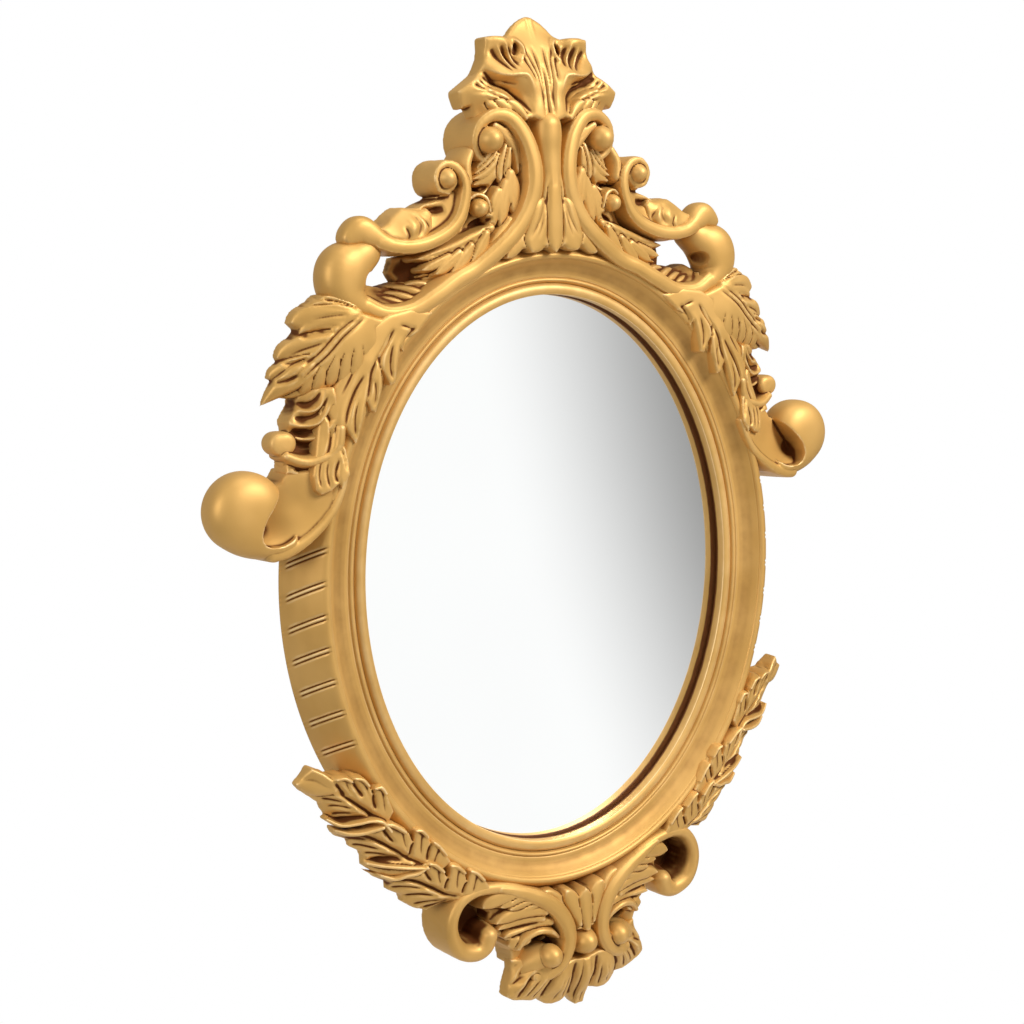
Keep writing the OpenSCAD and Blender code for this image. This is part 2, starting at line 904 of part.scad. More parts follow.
module crest_scroll() {
    carved() {
        union()
            crest_scroll_shape();
        ring_block();
    }
}

module crest_column() {
    carved() {
        union()
            crest_column_shape();
        ring_block();
        union()
            crest_scroll_shape();
        other_side()
            crest_scroll_shape();
    }
}

module crest_palmette() {
    carved() {
        union()
            crest_palmette_shape();
        union()
            crest_scroll_shape();
        other_side()
            crest_scroll_shape();
        union()
            crest_column_shape();
    }
}

module outer_scroll() {
    carved() {
        union()
            outer_scroll_shape();
        ring_block();
        union()
            crest_scroll_shape();
    }
}

module outer_leaf() {
    carved() {
        union()
            outer_leaf_shape();
        union()
            outer_scroll_shape();
        union()
            crest_scroll_shape();
    }
}

module crest_spray() {
    carved() {
        union()
            crest_spray_shape();
        ring_block();
        union()
            crest_scroll_shape();
        union()
            crest_palmette_shape();
        union()
            outer_scroll_shape();
        union()
            outer_leaf_shape();
    }
}

module shoulder_leaf() {
    carved() {
        union()
            shoulder_leaf_shape();
        ring_block();
        union()
            crest_scroll_shape();
    }
}

module flank_leaf() {
    carved() {
        union()
            flank_leaf_shape();
        ring_block();
        union()
            crest_scroll_shape();
        union()
            shoulder_leaf_shape();
    }
}

module side_curl() {
    carved() {
        union()
            side_curl_shape();
        ring_block();
        union()
            flank_leaf_shape();
        union()
            shoulder_leaf_shape();
    }
}

module side_scroll() {
    carved() {
        union()
            side_scroll_shape();
        ring_block();
        union()
            flank_leaf_shape();
        union()
            side_curl_shape();
    }
}

module garland(i) {
    carved() {
        union()
            garland_leaf(i);
        ring_block();
        union()
            base_scroll_shape();
        union()
            for (k = [0:i - 1])
                garland_leaf(k);
    }
}

module base_scroll() {
    carved() {
        union()
            base_scroll_shape();
        ring_block();
    }
}

module base_inner_scroll() {
    carved() {
        union()
            base_inner_scroll_shape();
        ring_block();
        union()
            base_scroll_shape();
        union()
            base_ball_shape();
    }
}

module base_spray() {
    carved() {
        union()
            base_spray_shape();
        ring_block();
        union()
            base_scroll_shape();
        union()
            base_inner_scroll_shape();
        union()
            base_ball_shape();
    }
}

module base_fan() {
    carved() {
        union()
            base_fan_shape();
        ring_block();
        union()
            base_ball_shape();
        union()
            base_inner_scroll_shape();
        other_side()
            base_inner_scroll_shape();
    }
}

module base_ball() {
    carved() {
        union()
            base_ball_shape();
        ring_block();
    }
}

module base_palmette() {
    carved() {
        union()
            base_palmette_shape();
        union()
            base_ball_shape();
        union() {
            base_inner_scroll_shape();
            base_spray_shape();
        }
        other_side() {
            base_inner_scroll_shape();
            base_spray_shape();
        }
    }
}

oval_frame();
mirror_glass();
backing_board();
turn_button(0);  // turn_button_1
turn_button(1);  // turn_button_2
turn_button(2);  // turn_button_3
turn_button(3);  // turn_button_4
turn_button(4);  // turn_button_5
turn_button(5);  // turn_button_6
turn_button_screws();
hanger_strap();  // hanger_strap_right
other_side() hanger_strap();  // hanger_strap_left
hanger_ring();  // hanger_ring_right
other_side() hanger_ring();  // hanger_ring_left
hanger_screws();
crest_palmette();
crest_column();
crest_scroll();  // crest_scroll_right
other_side() crest_scroll();  // crest_scroll_left
crest_spray();  // crest_spray_right
other_side() crest_spray();  // crest_spray_left
outer_scroll();  // outer_scroll_right
other_side() outer_scroll();  // outer_scroll_left
outer_leaf();  // outer_leaf_right
other_side() outer_leaf();  // outer_leaf_left
shoulder_leaf();  // shoulder_leaf_right
other_side() shoulder_leaf();  // shoulder_leaf_left
flank_leaf();  // flank_leaf_right
other_side() flank_leaf();  // flank_leaf_left
side_curl();  // side_curl_right
other_side() side_curl();  // side_curl_left
side_scroll();  // side_scroll_right
other_side() side_scroll();  // side_scroll_left
garland(0);  // garland_upper_right
other_side() garland(0);  // garland_upper_left
garland(1);  // garland_middle_right
other_side() garland(1);  // garland_middle_left
garland(2);  // garland_lower_right
other_side() garland(2);  // garland_lower_left
base_scroll();  // base_scroll_right
other_side() base_scroll();  // base_scroll_left
base_inner_scroll();  // base_inner_scroll_right
other_side() base_inner_scroll();  // base_inner_scroll_left
base_spray();  // base_spray_right
other_side() base_spray();  // base_spray_left
base_fan();
base_ball();
base_palmette();
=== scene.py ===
import math

import bpy
import numpy as np
import openvdb
from mathutils import Matrix, Vector

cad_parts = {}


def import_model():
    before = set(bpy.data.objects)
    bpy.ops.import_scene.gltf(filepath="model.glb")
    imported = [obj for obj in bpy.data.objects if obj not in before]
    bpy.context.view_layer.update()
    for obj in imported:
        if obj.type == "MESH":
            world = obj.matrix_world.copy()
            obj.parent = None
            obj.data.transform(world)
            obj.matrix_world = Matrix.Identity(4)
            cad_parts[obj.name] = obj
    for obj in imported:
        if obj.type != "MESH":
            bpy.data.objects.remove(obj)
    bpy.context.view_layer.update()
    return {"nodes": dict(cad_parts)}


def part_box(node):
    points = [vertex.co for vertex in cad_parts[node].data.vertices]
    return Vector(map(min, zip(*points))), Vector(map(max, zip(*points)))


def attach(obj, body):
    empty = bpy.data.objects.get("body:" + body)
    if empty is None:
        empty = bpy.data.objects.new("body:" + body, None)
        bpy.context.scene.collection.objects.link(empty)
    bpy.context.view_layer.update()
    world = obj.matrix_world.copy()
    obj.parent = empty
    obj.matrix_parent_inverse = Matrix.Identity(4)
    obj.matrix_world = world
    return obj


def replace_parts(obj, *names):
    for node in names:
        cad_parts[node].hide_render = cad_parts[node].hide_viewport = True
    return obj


# Looks of an oval wall mirror in a carved, gilded frame. Shapes are worked out in millimetres,
# as heights over the wall, and become meshes in metres at the end.

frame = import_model()

MM = 0.001
TINY = 1e-9
FAR = 1e12

# Carving: the side of a grid cell, the height of a place with nothing on it, the room left round
# a form, the fall of its side for each millimetre out, the same where it lies on another form and
# how far that reaches, and the width of the groove round it
CELL = 0.8
EMPTY = -60.0
MARGIN = 4
WALL = 22.0
SKIRT, SKIRT_WIDE = 4.0, 2.5
MOAT_WIDE = 0.9

# The least half widths, how the forms are rounded, how fast lines fade in and out at their ends,
# and a pocket's room, edge and slope
LEAST_PETAL, LEAST_BAND = 0.4, 0.5
BOW_STEPS = 14
PETAL_TIP, VEIN_WIDE = 0.75, 0.75
BAND_ROUND, RIM_AT, RIM_WIDE = 2.6, 0.7, 0.09
SHEET_ROUND, SHEET_EDGE = 1.6, 2.4
CREASE_WIDER, CREASE_SHALLOWER = 1.35, 0.85
VEIN_IN, VEIN_OUT, GROOVE_IN, GROOVE_OUT = 5, 4, 4, 3
POCKET_ROOM, POCKET_EDGE, POCKET_SLOPE = 1.3, 1.15, 0.5
DRAPE_SOFT, DRAPE_LOOSE = 25, 0.6
# How the marked dark wash and painted shade fade in below their height
WASH_AND_SHADE_FADE = 6

# Meshing: the depth given to a place outside every form, how far a piece reaches into the
# moulding, and the spare layers of cells under and over it
OUTSIDE = 3.0
INTO_RING = 1.5
SPARE = 3

# Smoothing: rounds for a whole piece and for its sides, what counts as a side, how far a face
# that counts as the front may turn away, and rounds for the small and the wide hollows
ROUNDS, SIDE_ROUNDS = 2, 8
SIDE_START, SIDE_SLOPE = 1.3, 2.2
FRONT = -0.3
FINE_ROUNDS, WIDE_ROUNDS = 5, 30


# The ovals of the moulding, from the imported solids

GLASS_LAP = 6
LIP_WIDE = 9
FLANK_WIDE = (19.3, 16)
RIDGE_H = 37.8
SIGHT_H = 10.0


def half_size(node):
    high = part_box(node)[1]
    return np.array([high.x, high.z]) / MM


EDGE = half_size("oval_frame")
SIGHT = half_size("mirror_glass") - GLASS_LAP
GROOVE = SIGHT + LIP_WIDE
RIDGE = EDGE - FLANK_WIDE
GLASS_FRONT = -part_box("mirror_glass")[0].y / MM
LAND = -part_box("backing_board")[1].y / MM

# The moulding's section from the lip to the wall: two ovals, then the share of the way from one
# to the other and the height
SECTION = [
    (SIGHT, GROOVE, [
        (0.0, 19.0), (0.0, 26.4), (0.06, 27.5), (0.22, 28.3), (0.45, 28.6), (0.68, 28.1),
        (0.84, 26.9), (0.93, 25.5), (0.98, 25.4)]),
    (GROOVE, RIDGE, [
        (0.02, 26.6), (0.06, 27.6), (0.1, 27.8), (0.14, 27.4), (0.165, 26.5), (0.185, 26.4),
        (0.21, 27.0), (0.32, 27.3), (0.46, 28.2), (0.58, 29.6), (0.68, 31.3), (0.77, 33.4),
        (0.83, 35.0), (0.85, 35.2), (0.865, 36.3), (0.9, 37.2), (0.95, 37.7)]),
    (RIDGE, EDGE, [
        (0.0, RIDGE_H), (0.06, 37.4), (0.12, 36.6), (0.2, 35.0), (0.35, 31.0), (0.5, 26.5),
        (0.65, 20.8), (0.8, 14.4), (0.92, 6.5), (1.0, 0.0)]),
]


def section_rows():
    return np.array([[*(a + (b - a) * u), h] for a, b, rows in SECTION for u, h in rows])


def ring_height(x, z):
    """How high the moulding stands at each place: far below the wall outside it."""
    rows = section_rows()
    size = np.array([np.sqrt((x / a) ** 2 + (z / b) ** 2) for a, b, _ in rows[1:]])
    heights = rows[1:, 2]
    out = np.full(x.shape, EMPTY)
    for k in range(len(size) - 1):
        inside = (size[k] >= 1) & (size[k + 1] < 1)
        share = (size[k] - 1) / np.maximum(size[k] - size[k + 1], TINY)
        out = np.where(inside, heights[k] + (heights[k + 1] - heights[k]) * share, out)
    return np.where(size[0] < 1, SIGHT_H, out)


def ring_point(t, out):
    """A point out beyond the ridge's oval, at an angle in degrees."""
    a = math.radians(t)
    return np.array([(RIDGE[0] + out) * math.cos(a), (RIDGE[1] + out) * math.sin(a)])


def spread(rows, n=8):
    """A smooth curve through rows of numbers."""
    rows = np.array(rows, float)
    made = []
    for i in range(len(rows) - 1):
        a, b = rows[max(i - 1, 0)], rows[i]
        c, d = rows[i + 1], rows[min(i + 2, len(rows) - 1)]
        for k in range(n):
            t = k / n
            made.append(0.5 * (2 * b + (c - a) * t + (2 * a - 5 * b + 4 * c - d) * t * t
                               + (3 * b - a - 3 * c + d) * t ** 3))
    made.append(rows[-1])
    return np.array(made)


def bent(root, tip, bow):
    """A bowed path from a root to a tip."""
    root, tip = np.array(root, float), np.array(tip, float)
    way = tip - root
    side = np.array([-way[1], way[0]]) / max(np.linalg.norm(way), TINY)
    mid = (root + tip) / 2 + side * bow * 2
    t = np.linspace(0, 1, BOW_STEPS)[:, None]
    return root * (1 - t) ** 2 + mid * 2 * t * (1 - t) + tip * t * t


def along(a, d, x, z):
    """The share of the way from a along d at which each place lies, from 0 to 1."""
    return np.clip(((x - a[0]) * d[0] + (z - a[1]) * d[1]) / max(d @ d, TINY), 0, 1)


def nearest(path, x, z):
    """For each place: the share of the path passed, and the distance to its left."""
    best = np.full(x.shape, FAR)
    share = np.zeros(x.shape)
    side = np.ones(x.shape)
    steps = len(path) - 1
    for i in range(steps):
        a, d = path[i][:2], path[i + 1][:2] - path[i][:2]
        t = along(a, d, x, z)
        px, pz = x - a[0] - t * d[0], z - a[1] - t * d[1]
        far = px * px + pz * pz
        near = far < best
        best = np.where(near, far, best)
        share = np.where(near, (i + t) / steps, share)
        side = np.where(near, np.where(d[0] * pz - d[1] * px < 0, -1.0, 1.0), side)
    return share, np.sqrt(best) * side


def within(outline, x, z):
    """Which places lie inside an outline, and how far each is from its edge."""
    inside = np.zeros(x.shape, bool)
    best = np.full(x.shape, FAR)
    for a, b in zip(outline, np.roll(outline, -1, axis=0)):
        if a[1] != b[1]:
            at = (b[0] - a[0]) * (z - a[1]) / (b[1] - a[1]) + a[0]
            inside ^= ((a[1] > z) != (b[1] > z)) & (x < at)
        d = b - a
        t = along(a, d, x, z)
        best = np.minimum(best, (x - a[0] - t * d[0]) ** 2 + (z - a[1] - t * d[1]) ** 2)
    return inside, np.sqrt(best)


def draped(given, x, z):
    """A smooth surface through, or close past, given rows of x, z and height."""
    given = np.array(given, float)
    flat = given[:, :2]
    count = len(given)
    around = np.sqrt(((flat[:, None] - flat[None]) ** 2).sum(2) + DRAPE_SOFT)
    plane = np.concatenate([np.ones((count, 1)), flat], 1)
    system = np.block([[around - DRAPE_LOOSE * np.eye(count), plane],
                       [plane.T, np.zeros((3, 3))]])
    found = np.linalg.solve(system, np.concatenate([given[:, 2], np.zeros(3)]))
    out = found[count] + found[count + 1] * x + found[count + 2] * z
    for (px, pz), share in zip(flat, found):
        out = out + share * np.sqrt((x - px) ** 2 + (z - pz) ** 2 + DRAPE_SOFT)
    return out


class Carving:
    """A piece carved as heights over a fine grid, with round forms added to and cut from it."""

    def __init__(self, low, high, back):
        self.symmetric = low[0] == 0
        if self.symmetric:
            low = (-high[0], low[1])
        self.x, self.z = (
            np.arange(math.floor(a / CELL), math.ceil(b / CELL) + 1) * CELL
            for a, b in zip(low, high))
        self.top = np.full((len(self.x), len(self.z)), EMPTY)
        self.back = back
        self.forms = []
        self.cuts = []
        self.wash_and_shade_places = []

    def window(self, path, margin):
        """The part of the grid round a path, and the places in it."""
        path = np.array(path)
        parts = []
        for axis, line in ((0, self.x), (1, self.z)):
            a = np.searchsorted(line, path[:, axis].min() - margin)
            b = np.searchsorted(line, path[:, axis].max() + margin)
            parts.append(slice(max(a, 0), max(b, a + 1)))
        x, z = np.meshgrid(self.x[parts[0]], self.z[parts[1]], indexing="ij")
        return tuple(parts), x, z

    def lay(self, place, height, beyond, moat):
        """Adds a form over what is there, with a thin groove round it."""
        past = np.maximum(beyond, 0)
        old = self.top[place]
        sunk = old - moat * np.exp(-(past / MOAT_WIDE) ** 2)
        sunk = np.where((beyond > 0) & (old < height + 1), sunk, old)
        skirt = np.where((old > 0) & (past < SKIRT_WIDE), height - SKIRT * past, EMPTY)
        self.top[place] = np.maximum(sunk, np.maximum(height - WALL * past, skirt))

    def petals(self, crown, moat, *rows, **common):
        """Small leaves: each one's root and tip, width, height at the root and the tip, bow."""
        for row in rows:
            own = row[8] if len(row) > 8 else {}
            self.petal(crown, moat, row[:2], row[2:4], *row[4:8], **{**common, **own})

    def petal(self, crown, moat, root, tip, width, high, low, bow, vein=0, point=1.7, wide=0.45,
              foot=0.5, drop=1.6):
        """A small leaf, widest at the share wide of its way from the root to the tip."""
        path = bent(root, tip, bow)
        place, x, z = self.window(path, width / 2 + MARGIN)
        u, across = nearest(path, x, z)
        rise = np.sin(np.clip(u / wide, 0, 1) * math.pi / 2)
        fall = np.clip((u - wide) / (1 - wide), 0, 1)
        share = np.where(u < wide, foot + (1 - foot) * rise, (1 - fall ** point) ** PETAL_TIP)
        half = np.maximum(width / 2 * share, LEAST_PETAL)
        q = np.clip(np.abs(across) / half, 0, 1)
        line = vein * np.exp(-(across / VEIN_WIDE) ** 2)
        line = line * np.clip(u * VEIN_IN, 0, 1) * np.clip((1 - u) * VEIN_OUT, 0, 1)
        h = high + (low - high) * u ** drop - crown * q ** 3 - line
        self.lay(place, h, np.abs(across) - half, moat)

    def band(self, rows, crown=0.4, rim=0.0, moat=1.4):
        """A rounded band through rows of x, z, half width and height, lined near its edges."""
        path = spread(rows)
        place, x, z = self.window(path, path[:, 2].max() + MARGIN)
        u, across = nearest(path, x, z)
        marks = np.linspace(0, 1, len(path))
        half = np.maximum(np.interp(u, marks, path[:, 2]), LEAST_BAND)
        size = np.clip(np.abs(across) / half, 0, 1)
        h = np.interp(u, marks, path[:, 3]) - crown * half * size ** BAND_ROUND
        h = h - rim * np.exp(-((size - RIM_AT) / RIM_WIDE) ** 2)
        self.lay(place, h, np.abs(across) - half, moat)

    def lips(self, *rows):
        """Thin rolled edges."""
        for line in rows:
            self.band(line, crown=0.9, moat=0)

    def groove(self, width, depth, *lines):
        """Grooves that fade out at their two ends."""
        for line in lines:
            path = spread(line)
            place, x, z = self.window(path, width * 2 + 1)
            u, across = nearest(path, x, z)
            fade = np.clip(u * GROOVE_IN, 0, 1) * np.clip((1 - u) * GROOVE_OUT, 0, 1)
            self.top[place] -= depth * np.exp(-(across / width) ** 2) * fade

    def crease(self, width, depth, *lines):
        """Grooves as carved between lobes, drawn wider and shallower than they are given."""
        self.groove(width * CREASE_WIDER, depth * CREASE_SHALLOWER, *lines)

    def swell(self, width, rise, *lines):
        """Soft ridges that fade out at their two ends."""
        self.groove(width, -rise, *lines)

    def sheet(self, outline, heights, moat=1.6):
        """A leaf or a face inside an outline, its height drawn smoothly through given points."""
        outline = np.array(outline, float)
        place, x, z = self.window(outline, MARGIN)
        inside, far = within(outline, x, z)
        h = draped(heights, x, z) - SHEET_ROUND * np.clip(1 - far / SHEET_EDGE, 0, 1) ** 2
        self.lay(place, h, np.where(inside, -far, far), moat)

    def hollow(self, middle, wide, tall, depth, lean):
        """A steep-sided oval pocket."""
        place, x, z = self.window([middle], max(wide, tall) * POCKET_ROOM)
        a = math.radians(lean)
        dx, dz = x - middle[0], z - middle[1]
        across = (dx * math.cos(a) + dz * math.sin(a)) / wide
        up = (-dx * math.sin(a) + dz * math.cos(a)) / tall
        s = np.clip((POCKET_EDGE - np.sqrt(across ** 2 + up ** 2)) / POCKET_SLOPE, 0, 1)
        self.top[place] -= depth * s * s * (3 - 2 * s)

    def ball(self, middle, radius, top, stretch):
        self.forms.append(([(*middle, radius, top, top - 2 * radius * stretch)], 2.0))

    def pod(self, rows, power=2.4, n=5):
        """A swept round form: rows of x, z, radius, front and back height."""
        self.forms.append((spread(rows, n) if len(rows) > 1 else rows, power))

    def cut(self, rows, power, n):
        self.cuts.append((spread(rows, n), power))

    def wash_and_shade(self, *rows):
        """Places of thick dark wash and painted shade: x, z, radius and the height they lie below.
        """
        self.wash_and_shade_places.extend(rows)

    # How thick the marked dark wash and painted shade lie at each point
    def wash_and_shade_depth(self, points):
        depth = np.zeros(len(points))
        for x, z, radius, below in self.wash_and_shade_places:
            near = 1 - np.hypot(points[:, 0] - x, points[:, 2] - z) / radius
            low = np.clip((below - points[:, 1]) / WASH_AND_SHADE_FADE, 0, 1)
            depth += np.clip(near * 2, 0, 1) * low
        return depth

    def finished_top(self):
        if self.symmetric:
            self.top = np.maximum(self.top, self.top[::-1])
        return self.top


def add_form(field, form, x, hs, z, cutting):
    """Joins one round form to a field of depths, or cuts it out."""
    rows, power = form
    for px, pz, r, front, back in rows:
        middle, half = (front + back) / 2, max((front - back) / 2, 0.5)
        i, j, k = (
            slice(*np.searchsorted(line, (low - MARGIN, high + MARGIN)))
            for line, low, high in ((x, px - r, px + r), (hs, back, front), (z, pz - r, pz + r)))
        dx = (x[i] - px)[:, None, None]
        dz = (z[k] - pz)[None, None, :]
        dh = (hs[j] - middle)[None, :, None]
        flat = np.sqrt(dx * dx + dz * dz) / r
        size = (flat ** power + np.abs(dh / half) ** power) ** (1 / power)
        away = (size - 1) * min(r, half)
        if cutting:
            field[i, j, k] = np.maximum(field[i, j, k], -away)
        else:
            field[i, j, k] = np.minimum(field[i, j, k], away)


def ease(points, pairs, rounds, strength=0.5):
    """Smooths points along the edges between them, each by its own strength if there are many."""
    count = len(points)
    ends = np.concatenate([pairs[:, 0], pairs[:, 1]])
    others = np.concatenate([pairs[:, 1], pairs[:, 0]])
    number = np.maximum(np.bincount(ends, minlength=count), 1)[:, None]
    for _ in range(rounds):
        summed = np.stack([np.bincount(ends, points[others, a], count) for a in range(3)], 1)
        points = points + (summed / number - points) * strength
    return points


def edge_pairs(quads):
    sides = np.concatenate([quads[:, [a, (a + 1) % 4]] for a in range(4)])
    sides.sort(axis=1)
    return np.unique(sides, axis=0)


def face_normals(points, quads):
    """Outward normals at points given as x, height and z, with quads wound for y = -height."""
    across = np.cross(points[quads[:, 2]] - points[quads[:, 0]],
                      points[quads[:, 3]] - points[quads[:, 1]])
    summed = np.zeros(points.shape)
    for corner in range(4):
        for axis in range(3):
            summed[:, axis] += np.bincount(quads[:, corner], across[:, axis], len(points))
    return -summed / np.maximum(np.linalg.norm(summed, axis=1), TINY)[:, None]


def hollowness(points, quads, pairs):
    """How deep each point lies in a hollow, below zero on edges and ridges, at two sizes."""
    normals = face_normals(points, quads)
    fine = ease(points, pairs, FINE_ROUNDS)
    wide = ease(fine, pairs, WIDE_ROUNDS)
    return ((fine - points) * normals).sum(1), ((wide - points) * normals).sum(1)


def make_piece(name, points, quads, masks):
    """A gilded piece from points in millimetres as x, height over the wall and z."""
    mesh = bpy.data.meshes.new(name)
    placed = np.stack([points[:, 0], -points[:, 1], points[:, 2]], 1) * MM
    mesh.vertices.add(len(placed))
    mesh.vertices.foreach_set("co", placed.astype(np.float32).ravel())
    mesh.loops.add(quads.size)
    mesh.loops.foreach_set("vertex_index", quads.astype(np.int32).ravel())
    mesh.polygons.add(len(quads))
    mesh.polygons.foreach_set("loop_start", np.arange(0, quads.size, 4, dtype=np.int32))
    mesh.polygons.foreach_set("use_smooth", np.ones(len(quads), bool))
    mesh.update(calc_edges=True)
    for label, values in zip(MASKS, masks):
        made = mesh.attributes.new(label, "FLOAT", "POINT")
        made.data.foreach_set("value", values.astype(np.float32))
    mesh.materials.append(GILDING)
    piece = bpy.data.objects.new(name, mesh)
    bpy.context.scene.collection.objects.link(piece)
    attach(piece, "mirror")
    return piece


def carve(carving, node):
    """Turns a carving into its piece, and one of the right half also into that of the left."""
    top = carving.finished_top()
    x, z = carving.x, carving.z
    under = ring_height(*np.meshgrid(x, z, indexing="ij")) - INTO_RING
    under = np.maximum(under, carving.back)
    highest = max([top.max()] + [row[3] for rows, _ in carving.forms for row in rows])
    hs = np.arange(-SPARE, math.ceil(highest / CELL) + SPARE) * CELL
    field = np.maximum(hs[None, :, None] - top[:, None, :], carving.back - hs[None, :, None])
    rounds = np.full(field.shape, OUTSIDE)
    for form in carving.forms:
        add_form(rounds, form, x, hs, z, False)
    for form in carving.cuts:
        add_form(rounds, form, x, hs, z, True)
    field = np.maximum(np.minimum(field, rounds), under[:, None, :] - hs[None, :, None])
    for axis in range(3):
        np.moveaxis(field, axis, 0)[[0, -1]] = OUTSIDE
    grid = openvdb.FloatGrid(OUTSIDE)
    grid.copyFromArray(field.astype(np.float32))
    points, _, quads = grid.convertToPolygons(isovalue=0.0, adaptivity=0.0)
    points = np.array(points, float) * CELL + (x[0], hs[0], z[0])
    quads = np.array(quads, int)[:, ::-1]
    pairs = edge_pairs(quads)
    points = ease(points, pairs, ROUNDS)
    upright = np.abs(face_normals(points, quads)[:, 1])
    sides = np.clip(SIDE_START - SIDE_SLOPE * upright, 0, 1)[:, None]
    points = ease(points, pairs, SIDE_ROUNDS, 0.5 * sides)
    points[:, 1] = np.maximum(points[:, 1], 0.0)
    fine, wide = hollowness(points, quads, pairs)
    front = face_normals(points, quads)[:, 1] > FRONT
    # The masks place the gold's dark wash and painted shade; the fine one also marks the edges
    masks = fine, wide * front, carving.wash_and_shade_depth(points) * front
    right = node if carving.symmetric else f"{node}_right"
    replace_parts(make_piece(f"{right}_carved", points, quads, masks), right)
    if not carving.symmetric:
        left = f"{node}_left"
        points = points * (-1, 1, 1)
        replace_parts(make_piece(f"{left}_carved", points, quads[:, ::-1], masks), left)


# Materials

WHITE = (1.0, 1.0, 1.0)
GOLD = (0.58, 0.325, 0.085), (0.66, 0.385, 0.115)
# Dark red-brown of the hollows: the paint's wash, with painted shade where they lie in shadow
GOLD_WASH_AND_SHADE = (0.13, 0.038, 0.005)
# Lighter gold of the edges: wear, with a painted highlight
GOLD_EDGE = (0.92, 0.66, 0.32)
SILVER = (0.975, 0.985, 0.98), (0.965, 0.975, 0.97)
BOARD = (0.13, 0.07, 0.035), (0.26, 0.155, 0.085)
ZINC = (0.5, 0.51, 0.53), (0.66, 0.67, 0.68)
FLOOR_GREY = (0.86, 0.86, 0.86), (0.9, 0.9, 0.9)
# Masks measured on each piece, for the dark wash and painted shade
MASKS = ("hollow_fine", "hollow_wide", "wash_and_shade")

# Where soft and crisp patches begin and end in a noise. In the masks: the weight of the fine
# hollows, how much noise breaks up the wash and painted shade of the hollows, that of the marked
# places and the wear and painted highlight of the edges, and where masks begin and end
SOFT, CRISP = (0.3, 0.7), (0.35, 0.65)
FINE_WEIGHT = 2.4
HOLLOW_NOISE, WASH_AND_SHADE_NOISE, WORN_AND_HIGHLIT_NOISE = 0.6, 0.3, 0.5
HOLLOW_MASK, WORN_AND_HIGHLIT_MASK = (0.05, 1.0), (0.15, 1.2)


def feed(tree, node, values):
    """Sets inputs of a node, by name or number: a socket is linked, anything else is a value."""
    for label, value in values.items():
        if isinstance(value, bpy.types.NodeSocket):
            tree.links.new(value, node.inputs[label])
        else:
            node.inputs[label].default_value = value


def add_node(tree, kind, values=()):
    made = tree.nodes.new(f"ShaderNode{kind}")
    feed(tree, made, dict(values))
    return made


def new_material(name):
    made = bpy.data.materials.new(name)
    made.use_nodes = True
    tree = made.node_tree
    tree.nodes.clear()
    shader = add_node(tree, "BsdfPrincipled")
    add_node(tree, "OutputMaterial", {0: shader.outputs[0]})
    return made, tree, shader


def new_group(name, inputs, outputs):
    """A node group that takes and gives numbers, each input with the value it starts at."""
    group = bpy.data.node_groups.new(name, "ShaderNodeTree")
    for label, value in inputs.items():
        made = group.interface.new_socket(
            name=label, in_out="INPUT", socket_type="NodeSocketFloat")
        made.default_value = value
    for label in outputs:
        group.interface.new_socket(name=label, in_out="OUTPUT", socket_type="NodeSocketFloat")
    return group, group.nodes.new("NodeGroupInput").outputs, group.nodes.new("NodeGroupOutput")


def noise(tree, scale, detail=3.0, rough=0.5, stretch=None):
    source = add_node(tree, "TexCoord").outputs["Object"]
    if stretch:
        source = add_node(tree, "Mapping", {"Scale": stretch, "Vector": source}).outputs[0]
    return add_node(tree, "TexNoise", {
        "Vector": source, "Scale": scale, "Detail": detail, "Roughness": rough}).outputs["Fac"]


def ramp(tree, source, start, end, low=0.0, high=1.0):
    """Takes values from start to end smoothly over to those from low to high."""
    made = add_node(tree, "MapRange", {
        "Value": source, "From Min": start, "From Max": end, "To Min": low, "To Max": high})
    made.interpolation_type = "SMOOTHSTEP"
    return made.outputs["Result"]


def maths(tree, kind, a, b):
    made = add_node(tree, "Math", {0: a, 1: b})
    made.operation = kind
    return made.outputs[0]


def blend(tree, factor, a, b):
    made = add_node(tree, "Mix")
    made.data_type = "RGBA"
    for label, value in (("Factor", factor), ("A", a), ("B", b)):
        socket = [s for s in made.inputs if s.name == label and s.enabled][0]
        if isinstance(value, tuple):
            socket.default_value = (*value, 1)
        else:
            tree.links.new(value, socket)
    return [s for s in made.outputs if s.enabled][0]


def hollow_mask_group():
    """Masks of the hollows, for the dark wash and painted shade, and of the edges, for wear and a
    painted highlight, from what the carving measured.
    """
    group, given, out = new_group(
        "hollows and edges", {"Depth": 1.2, "Edge": 0.35}, ("Hollow", "Edge"))
    patch = noise(group, 90)
    measured = []
    for label in MASKS:
        made = add_node(group, "Attribute")
        made.attribute_name = label
        measured.append(made.outputs["Fac"])
    fine, wide, wash_and_shade = measured
    # The hollows' dark wash and painted shade
    deep = maths(group, "ADD", maths(group, "MULTIPLY", fine, FINE_WEIGHT), wide)
    deep = maths(group, "DIVIDE", deep, given["Depth"])
    deep = maths(group, "MULTIPLY", deep, maths(group, "ADD", patch, HOLLOW_NOISE))
    # The marked places' dark wash and painted shade, broken up by noise
    wash_and_shade = maths(group, "MULTIPLY", wash_and_shade, maths(group, "ADD", patch, WASH_AND_SHADE_NOISE))
    hollow = ramp(group, maths(group, "ADD", deep, wash_and_shade), *HOLLOW_MASK)
    # The edges' mask: where wear and a painted highlight lighten the gold
    worn_and_highlit = maths(group, "DIVIDE", maths(group, "MULTIPLY", fine, -1.0), given["Edge"])
    worn_and_highlit = maths(group, "MULTIPLY", worn_and_highlit, maths(group, "ADD", patch, WORN_AND_HIGHLIT_NOISE))
    feed(group, out, {"Hollow": hollow, "Edge": ramp(group, worn_and_highlit, *WORN_AND_HIGHLIT_MASK)})
    return group


